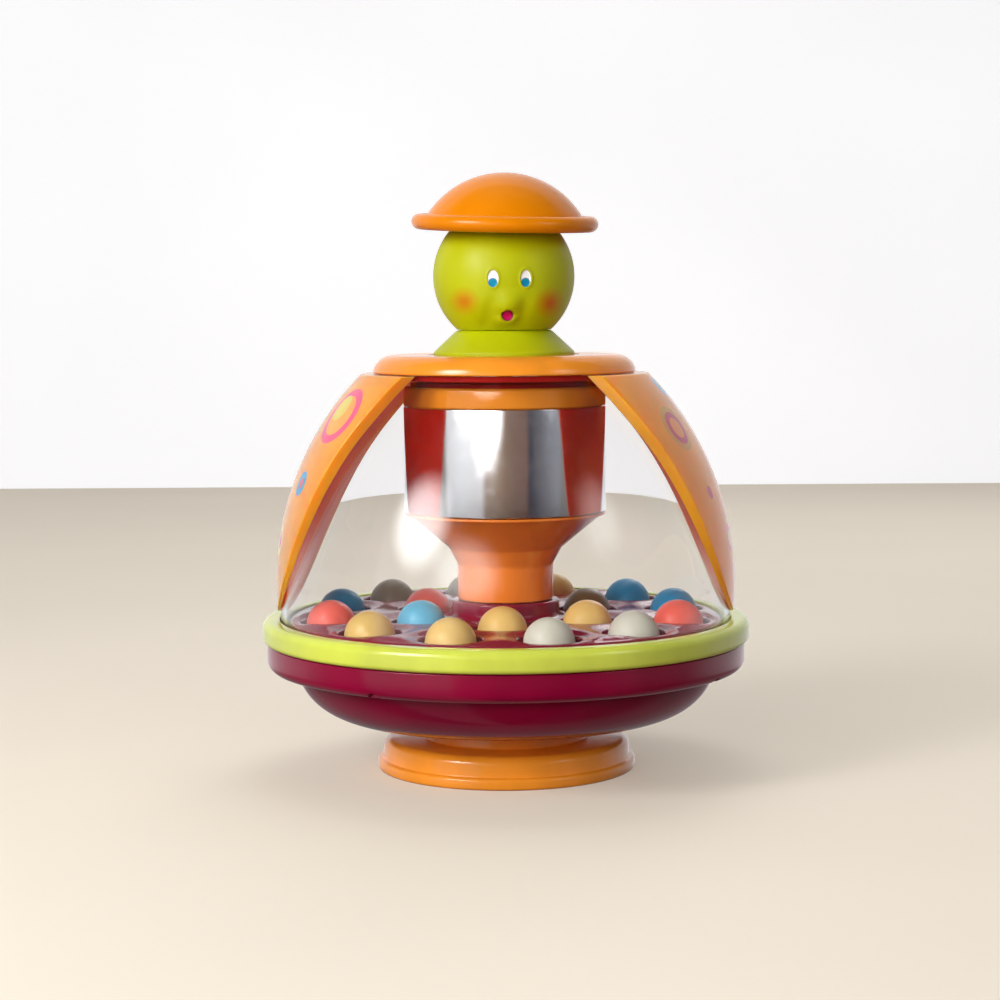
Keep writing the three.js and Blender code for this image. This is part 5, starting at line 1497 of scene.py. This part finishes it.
@dataclass
class Doll(SubAssembly):
    """Neck, head with its face, and hat."""

    body: Body = Body.PLUNGER
    neck_z: Range = (169.6, 179.8)
    head_z: float = 180.1
    ball: float = 28.8
    foot: float = 19.2
    wall: float = 2.6
    rim: float = 17.0
    opening: float = 14.0
    floor_z: float = 184.1
    face_turn: float = 4.5
    eye_across: float = 6.5
    eye_up: float = -1.0
    eye_half: Range = (2.15, 3.3)
    eye_sink: float = 0.35
    lid_rise: float = 0.28
    mouth_across: float = -0.6
    mouth_up: float = -14.8
    mouth_sink: float = 1.2
    lip_rise: float = 0.45
    muzzle_rise: float = 1.6
    nose_rise: float = 0.8
    nose_up: float = -11.6
    cheek_rise: float = 1.0
    crease_sink: float = 0.6
    hat_rise: float = 18.5
    hat_nod: float = 3.0
    hat_lean: float = 1.4
    hat_height: float = 23.5
    brim: float = 38.0
    roll: float = 3.2
    crown: float = 31.4
    seat: float = 22.97
    seat_depth: float = 4.0
    hat_wall: float = 2.4
    hat_hollow: float = 9.0

    @property
    def middle_z(self) -> float:
        """Height of the head's middle."""
        return self.head_z + math.sqrt(self.ball**2 - self.foot**2)

    def neck(self) -> Surface:
        """Hollow collar under the head: a filleted profile round the axis."""
        low, high = self.neck_z
        return revolve(rounded([
            (0, low, 0), (7.0, low, 0.4), (7.0, 177.4, 0.6), (17.4, 177.4, 1.0), (26.3, 171.2, 0.6),
            (26.3, low, 0.3), (28.7, low, 0.4), (28.7, 171.0, 1.0), (25.7, 173.8, 4.0),
            (19.9, 179.2, 1.2), (18.8, high, 0.5), (0, high, 0),
        ], 6))

    def sculpted(self, points: np.ndarray) -> np.ndarray:
        """Raises and sinks the face on the outside of the head.

        With u across and v up in the face's own axes, the height above the ball is a sum of a muzzle
        with steep sides and bells for nose, cheeks and lower lip, less bells along the two creases
        beside the muzzle, less smooth-edged ovals for the mouth and the eyes.

        Args:
            points: points on the outside of the head.

        Returns:
            The moved points.
        """
        turn = math.radians(self.face_turn)
        from_middle = points - np.array([0, 0, self.middle_z])
        x, y, v = np.moveaxis(from_middle, -1, 0)
        u = x * math.cos(turn) + y * math.sin(turn)
        front = step(x * math.sin(turn) - y * math.cos(turn), 0, 6)
        centre = u + 0.4 - 0.1 * (v + 8.6)
        height = self.muzzle_rise * bump(centre, 5.0) * step(-v, 4, 12) * (1 - step(-v, 16.5, 22))
        nose = v - self.nose_up
        height += self.nose_rise * bump(centre, 3.0) * bump(nose, np.where(nose > 0, 3.2, 1.2))
        side = np.abs(u)
        height += self.cheek_rise * bump(side - 12.5, 4.5) * bump(v + 12.5, 5.0)
        crease = bump(np.abs(centre) - 6.4, 1.8) * step(-v, 6, 12) * (1 - step(-v, 17, 22))
        height -= self.crease_sink * crease
        across, above = u - self.mouth_across, v - self.mouth_up
        upper, lower = (np.maximum(above, 0) / 1.5) ** 4, (np.minimum(above, 0) / 1.85) ** 2
        hollow = 1 - step((np.abs(across) / 2.35) ** 2.4 + upper + lower, 0.65, 1.2)
        height -= self.mouth_sink * hollow
        lip = np.hypot(across / 1.15, above)
        height += self.lip_rise * bump(lip - 2.75, 0.8) * step(-above, -0.2, 1.2)
        half_width, half_height = self.eye_half
        eye = np.hypot((side - self.eye_across) / half_width, (v - self.eye_up) / half_height)
        height += self.lid_rise * bump(eye - 1.16, 0.13) - self.eye_sink * (1 - step(eye, 0.8, 1.08))
        out = from_middle / np.linalg.norm(from_middle, axis=-1, keepdims=True)
        return points + out * (height * front)[..., None]

    def head(self) -> Surface:
        """Hollow ball: a sculpted outside, an opening under the hat and a plain inside.

        The outside is the ball in azimuth and elevation, with closer steps at the front: azimuth is
        t - 0.5 sin t. The inside and the floor are a profile round the axis at the same azimuths.
        """
        t = np.linspace(-np.pi, np.pi, 300, endpoint=False)
        azimuth = t - 0.5 * np.sin(t) + math.radians(self.face_turn)
        middle = (0.0, self.middle_z)
        low = -math.degrees(math.acos(self.foot / self.ball))
        high = math.degrees(math.acos(self.rim / self.ball))
        outside = arc(middle, (self.ball,) * 2, low, high, 190)
        inner = self.ball - self.wall
        inner_low = -math.degrees(math.asin((self.middle_z - self.floor_z) / inner))
        inside = arc(middle, (inner,) * 2, math.degrees(math.acos(self.opening / inner)), inner_low, 24)
        floor = np.array([(1.8, self.floor_z), (1.8, self.head_z), (18.7, self.head_z)])
        face, inner_face, under = (carried_round(profile, azimuth) for profile in (outside, inside, floor))
        loop = np.concatenate([self.sculpted(face), inner_face, under], axis=1)
        return grid(loop, wrap_u=True, wrap_v=True)

    def hat(self) -> Surface:
        """Hat with a rolled brim and a round crown, nodding forward and leaning to the right."""
        z = self.middle_z + self.hat_rise
        base = 2 * self.roll
        rise = self.hat_height - base
        ball = (self.crown**2 + rise**2) / (2 * rise)
        middle = (0.0, z + self.hat_height - ball)
        edge = math.degrees(math.acos(self.crown / ball))
        inner = ball - self.hat_wall
        inner_deg = math.degrees(math.asin((z + self.hat_hollow - middle[1]) / inner))
        inside = arc(middle, (inner, inner), 90, inner_deg, 24)
        inside[0, 0] = 0
        crown = arc(middle, (ball, ball), edge, 90, 48)
        crown[-1, 0] = 0
        brim = arc((self.brim - self.roll, z + self.roll), (self.roll,) * 2, -90, 120, 26)
        seat = [(self.seat, z + self.seat_depth, 0.6), (self.seat, z, 0.5)]
        fold = [(self.crown + 0.2, z + base - 0.7, 0.8)]
        profile = rounded(plain(inside) + seat + plain(brim) + fold + plain(crown)[1:])
        return revolve(profile).tilted(self.hat_nod, self.hat_lean, self.middle_z)

    def skin(self) -> PaintedPlastic:
        """The head's finish: matte lime with painted eyes, cheeks and tongue."""
        white, blue, tongue = (252, 252, 250), (0, 138, 178), (208, 8, 104)
        rim, shadow, flush, deep = (150, 126, 4), (150, 170, 178), (206, 70, 6), (122, 4, 44)
        paints = [
            Paint(-17.5, -10.1, 3.8, 3.5, flush, 0.8, 0.7),
            Paint(16.6, -10.75, 4.2, 3.7, flush, 0.8, 0.8),
        ]
        for side in (-1, 1):
            across = side * self.eye_across
            paints += [
                Paint(across, self.eye_up, 2.3, 3.45, rim, 0.08, 0.8),
                Paint(across, self.eye_up, 2.05, 3.2, white, 0.05),
                Paint(across - 0.1, self.eye_up - 1.6, 1.85, 1.85, shadow, 0.06),
                Paint(across - 0.1, self.eye_up - 1.75, 1.7, 1.7, blue, 0.06),
            ]
        paints += [
            Paint(self.mouth_across, self.mouth_up - 0.8, 2.35, 2.4, deep, 0.12),
            Paint(self.mouth_across - 0.1, self.mouth_up - 0.9, 1.75, 1.65, tongue, 0.2),
        ]
        return PaintedPlastic("head_skin", LIME.colour, LIME.roughness, LIME.coat, LIME.flow, LIME.grain,
                              centre=(0, 0, self.middle_z), ball=self.ball, turn_deg=self.face_turn,
                              paints=tuple(paints))

    def build(self) -> None:
        """Makes and dresses the doll's pieces."""
        self.piece("neck_moulding", self.neck(), LIME, Slot.LIME, "neck_cone")
        self.piece("head_moulding", self.head(), self.skin(), Slot.LIME, "head")
        self.piece("hat_moulding", self.hat(), HAT_ORANGE, Slot.HAT, "hat")
        Screws().place("head_fixing", "head_screw", 14.2, (0, 0, 184.4), head_below=False, body=self.body)


@dataclass
class Balls(SubAssembly):
    """Loose balls in the tray's pockets, each with a faint mould seam."""

    radius: float = 10.0
    height: float = 61.3
    seam: float = 0.06
    seam_width: float = 0.28
    outer: tuple[Slot, ...] = (
        Slot.BALL_WHITE, Slot.BALL_WHITE, Slot.BALL_CORAL, Slot.BALL_BLUE, Slot.BALL_BLUE, Slot.BALL_YELLOW,
        Slot.BALL_OLIVE, Slot.BALL_OLIVE, Slot.BALL_BLUE, Slot.BALL_CORAL, Slot.BALL_YELLOW, Slot.BALL_YELLOW,
    )
    inner: tuple[Slot, ...] = (
        Slot.BALL_YELLOW, Slot.BALL_YELLOW, Slot.BALL_OLIVE, Slot.BALL_WHITE, Slot.BALL_CORAL, Slot.BALL_SKY,
    )

    def ball(self, tilt: float, spin: float, at: Point) -> Surface:
        """Ball with a raised seam: r = R + s exp(-h^2 / w^2), with h the height over its plane.

        Args:
            tilt: tilt of the seam's plane, in radians.
            spin: direction of the tilt, in radians.
            at: the ball's middle.

        Returns:
            The surface.
        """
        elevation = np.linspace(-np.pi / 2, np.pi / 2, 49)
        height = self.radius * np.sin(elevation)
        ridge = self.seam * np.exp(-((height / self.seam_width) ** 2)) * np.cos(elevation)
        profile = np.stack([(self.radius - self.seam) * np.cos(elevation) + ridge, height], axis=1)
        profile[[0, -1], 0] = 0
        made = revolve(profile, 64)
        lean = Matrix.Rotation(spin, 3, "Z") @ Matrix.Rotation(tilt, 3, "X")
        return Surface(made.points @ np.array(lean).T, made.quads).moved(at)

    def build(self, places: list[Point]) -> None:
        """Makes and dresses the balls."""
        rng = np.random.default_rng(7)
        tilts, spins = rng.uniform(0.3, 1.4, len(places)), rng.uniform(0, 2 * np.pi, len(places))
        for index, (place, slot) in enumerate(zip(places, self.outer + self.inner)):
            node = f"ball_{index + 1:02d}"
            made = self.ball(tilts[index], spins[index], (place[0], place[1], self.height))
            self.piece(f"loose_{node}", made, BALL_FINISHES[slot], slot, node, body=node)


# Studio


@dataclass(frozen=True)
class Lamp:
    """A soft lamp: where the toy's middle sees it, and how far, large and strong it is.

    Angles are degrees, lengths metres, and the power is in watts before its edge fades. A lamp that
    isn't mirrored doesn't show in mirrors and glossy pieces.
    """

    name: str
    azimuth: float
    elevation: float
    distance: float
    size: Range
    power: float
    mirrored: bool = True


@dataclass
class Studio:
    """Plain pale floor, white wall, soft lights and the photograph's camera."""

    focal_px: float = 2319.0
    frame_px: float = 1000.0
    place: Point = (-2.08, -949.0, 193.0)
    pitch_deg: float = 4.99
    roll_deg: float = -0.34
    wall_y: float = 1.43
    wall_half: float = 4.0
    wall_height: float = 3.0
    wall_bright: float = 0.7
    floor_reach: float = 0.8
    floor_bright: float = 0.4
    floor_colour: Colour = (206, 196, 181)
    bounce_colour: Colour = (136, 104, 76)
    wall_colour: Colour = (236, 237, 239)
    ambient: float = 0.13
    ceiling: float = 0.12
    boards: float = 0.3
    middle: Point = (0, 0, 0.12)
    room: tuple[tuple[float, Colour], ...] = (
        (-180, (240, 241, 242)), (-112, (226, 227, 229)), (-92, (150, 150, 152)), (-72, (150, 146, 142)),
        (-68, (255, 255, 255)), (-27, (252, 251, 250)), (-22, (168, 142, 118)), (4, (146, 120, 104)),
        (24, (136, 108, 98)), (28, (72, 74, 86)), (42, (108, 112, 122)), (62, (158, 162, 168)),
        (68, (150, 146, 142)), (92, (150, 150, 152)), (112, (226, 227, 229)), (180, (240, 241, 242)),
    )
    lamps: tuple[Lamp, ...] = (
        Lamp("key", -47, 26, 1.15, (0.75, 0.8), 31.0),
        Lamp("front", -20, 12, 1.3, (1.0, 0.7), 26.0, mirrored=False),
        Lamp("fill", 54, 26, 1.15, (0.6, 0.7), 3.6),
        Lamp("top", 180, 70, 1.0, (1.0, 1.0), 9.0, mirrored=False),
        Lamp("back", 160, 30, 1.3, (0.9, 0.9), 9.0, mirrored=False),
    )

    def camera(self) -> None:
        """Makes the camera, level with the photograph's view of the toy."""
        data = bpy.data.cameras.new("photo_camera")
        data.sensor_width = 36.0
        data.lens = self.focal_px / self.frame_px * data.sensor_width
        data.clip_start, data.clip_end = 0.05, 50.0
        item = linked("photo_camera", data)
        look = Matrix.Rotation(math.radians(90 - self.pitch_deg), 4, "X")
        roll = Matrix.Rotation(math.radians(self.roll_deg), 4, "Z")
        item.matrix_world = Matrix.Translation(Vector(self.place) * MM) @ look @ roll
        bpy.context.scene.camera = item

    def sheet(self, name: str, corners: list[Point], colour: Colour, bounce: Colour, bright: float,
              mirrored: bool) -> None:
        """A flat stage sheet.

        Args:
            name: the object's name.
            corners: its four corners, in metres.
            colour: its colour where it is seen.
            bounce: its colour in the light that it throws on the toy.
            bright: its own light where it is seen, besides what lights it.
            mirrored: whether it shows in mirrors and gloss.
        """
        mesh = bpy.data.meshes.new(name)
        mesh.from_pydata(corners, [], [(0, 1, 2, 3)])
        recipe = Recipe(name)
        haze = recipe.remap(recipe.noise(3.0), (0.3, 0.7))
        tone = recipe.mixed(haze, shaded(colour, 0.99), shaded(colour, 1.01))
        rays = recipe.node("ShaderNodeLightPath").outputs
        recipe.feed("Base Color", recipe.mixed(rays["Is Diffuse Ray"], tone, bounce))
        recipe.feed("Emission Color", tone)
        recipe.set(Roughness=0.75)
        recipe.feed("Emission Strength", recipe.remap(rays["Is Diffuse Ray"], (0, 1), (bright, 0)))
        if not mirrored:
            recipe.see_through(recipe.remap(rays["Glossy Depth"], (0, 1)))
        mesh.materials.append(recipe.material)
        linked(name, mesh)

    def light(self, lamp: Lamp) -> None:
        """Makes a lamp that fades towards its edge, so that its reflection has no hard outline."""
        out = lamp.distance * math.cos(math.radians(lamp.elevation))
        rise = lamp.distance * math.sin(math.radians(lamp.elevation))
        place = Vector(around(out, lamp.azimuth, rise)) + Vector(self.middle)
        data = bpy.data.lights.new(lamp.name, "AREA")
        data.shape = "RECTANGLE"
        data.size, data.size_y = lamp.size
        data.energy = lamp.power
        data.use_nodes = True
        graph = Graph(data.node_tree)
        off_middle = graph.node("ShaderNodeVectorMath", operation="DISTANCE")
        graph.plug(off_middle.inputs[0], graph.node("ShaderNodeNewGeometry").outputs["Parametric"])
        graph.plug(off_middle.inputs[1], (0.5, 0.5, 0))
        fade = graph.remap(off_middle.outputs["Value"], (0.08, 0.5), (1, 0), "SMOOTHSTEP")
        graph.plug(graph.nodes["Emission"].inputs["Strength"], fade)
        item = linked(lamp.name, data)
        item.location = place
        item.visible_glossy = lamp.mirrored
        item.rotation_euler = (Vector(self.middle) - place).to_track_quat("-Z", "Y").to_euler()

    def room_seen(self, graph: Graph) -> Socket:
        """A room of bands, as mirrors show it.

        The colour follows the azimuth of a direction, atan2(x, -y), and darkens to the ceiling and to
        the floor boards.

        Args:
            graph: the world's node graph.

        Returns:
            The room's colour.
        """
        axes = graph.node("ShaderNodeSeparateXYZ")
        graph.plug(axes.inputs[0], graph.node("ShaderNodeTexCoord").outputs["Generated"])
        forward = graph.maths("MULTIPLY", axes.outputs["Y"], -1.0)
        azimuth = graph.maths("ARCTAN2", axes.outputs["X"], forward)
        ramp = graph.node("ShaderNodeValToRGB")
        graph.plug(ramp.inputs["Fac"], graph.remap(azimuth, (-math.pi, math.pi)))
        stops = ramp.color_ramp.elements
        stops[0].color, stops[1].color = linear(self.room[0][1]), linear(self.room[-1][1])
        for degrees, colour in self.room[1:-1]:
            stops.new((degrees + 180) / 360).color = linear(colour)
        above = graph.remap(axes.outputs["Z"], (0.35, 0.75), (1.0, self.ceiling), "SMOOTHSTEP")
        below = graph.remap(axes.outputs["Z"], (-0.3, -0.16), (self.boards, 1.0), "SMOOTHSTEP")
        room = graph.node("ShaderNodeVectorMath", operation="SCALE")
        graph.plug(room.inputs[0], ramp.outputs["Color"])
        graph.plug(room.inputs["Scale"], graph.maths("MULTIPLY", above, below))
        return room.outputs["Vector"]

    def world(self) -> None:
        """White where it is seen straight, a room of bands in mirrors, and an even grey as light."""
        world = bpy.data.worlds.new("studio_world")
        world.use_nodes = True
        graph = Graph(world.node_tree)
        rays = graph.node("ShaderNodeLightPath").outputs
        mirrored = graph.maths("MINIMUM", rays["Glossy Depth"], 1.0)
        seen = graph.mixed(mirrored, (255, 255, 255), self.room_seen(graph))
        lit = graph.node("ShaderNodeMix", data_type="RGBA")
        graph.plug(lit.inputs["Factor"], rays["Is Diffuse Ray"])
        graph.plug(lit.inputs[6], seen)
        graph.plug(lit.inputs[7], (self.ambient, self.ambient, self.ambient, 1))
        graph.plug(graph.nodes["Background"].inputs["Color"], lit.outputs[2])
        bpy.context.scene.world = world

    def build(self) -> None:
        """Makes the camera, the stage and the lights."""
        self.camera()
        y, reach, half, top = self.wall_y, self.floor_reach, self.wall_half, self.wall_height
        floor = [(-reach, -reach, 0), (reach, -reach, 0), (reach, y, 0), (-reach, y, 0)]
        wall = [(-half, y, 0), (half, y, 0), (half, y, top), (-half, y, top)]
        self.sheet("floor", floor, self.floor_colour, self.bounce_colour, self.floor_bright, mirrored=False)
        self.sheet("wall", wall, self.wall_colour, self.wall_colour, self.wall_bright, mirrored=True)
        for lamp in self.lamps:
            self.light(lamp)
        self.world()
        bpy.context.scene.view_settings.view_transform = "Standard"


def main() -> None:
    """Builds the toy round its CAD frame, then the studio."""
    logging.basicConfig(level=logging.INFO, format="%(name)s: %(message)s")
    for item in list(bpy.data.objects):
        bpy.data.objects.remove(item)
    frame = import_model()
    nodes = frame["nodes"]
    Base().build(nodes)
    Dome().build()
    turntable = Turntable()
    turntable.build(nodes)
    Drive().build(nodes)
    Doll().build()
    Balls().build(turntable.places())
    Studio().build()


if __name__ == "__main__":
    main()
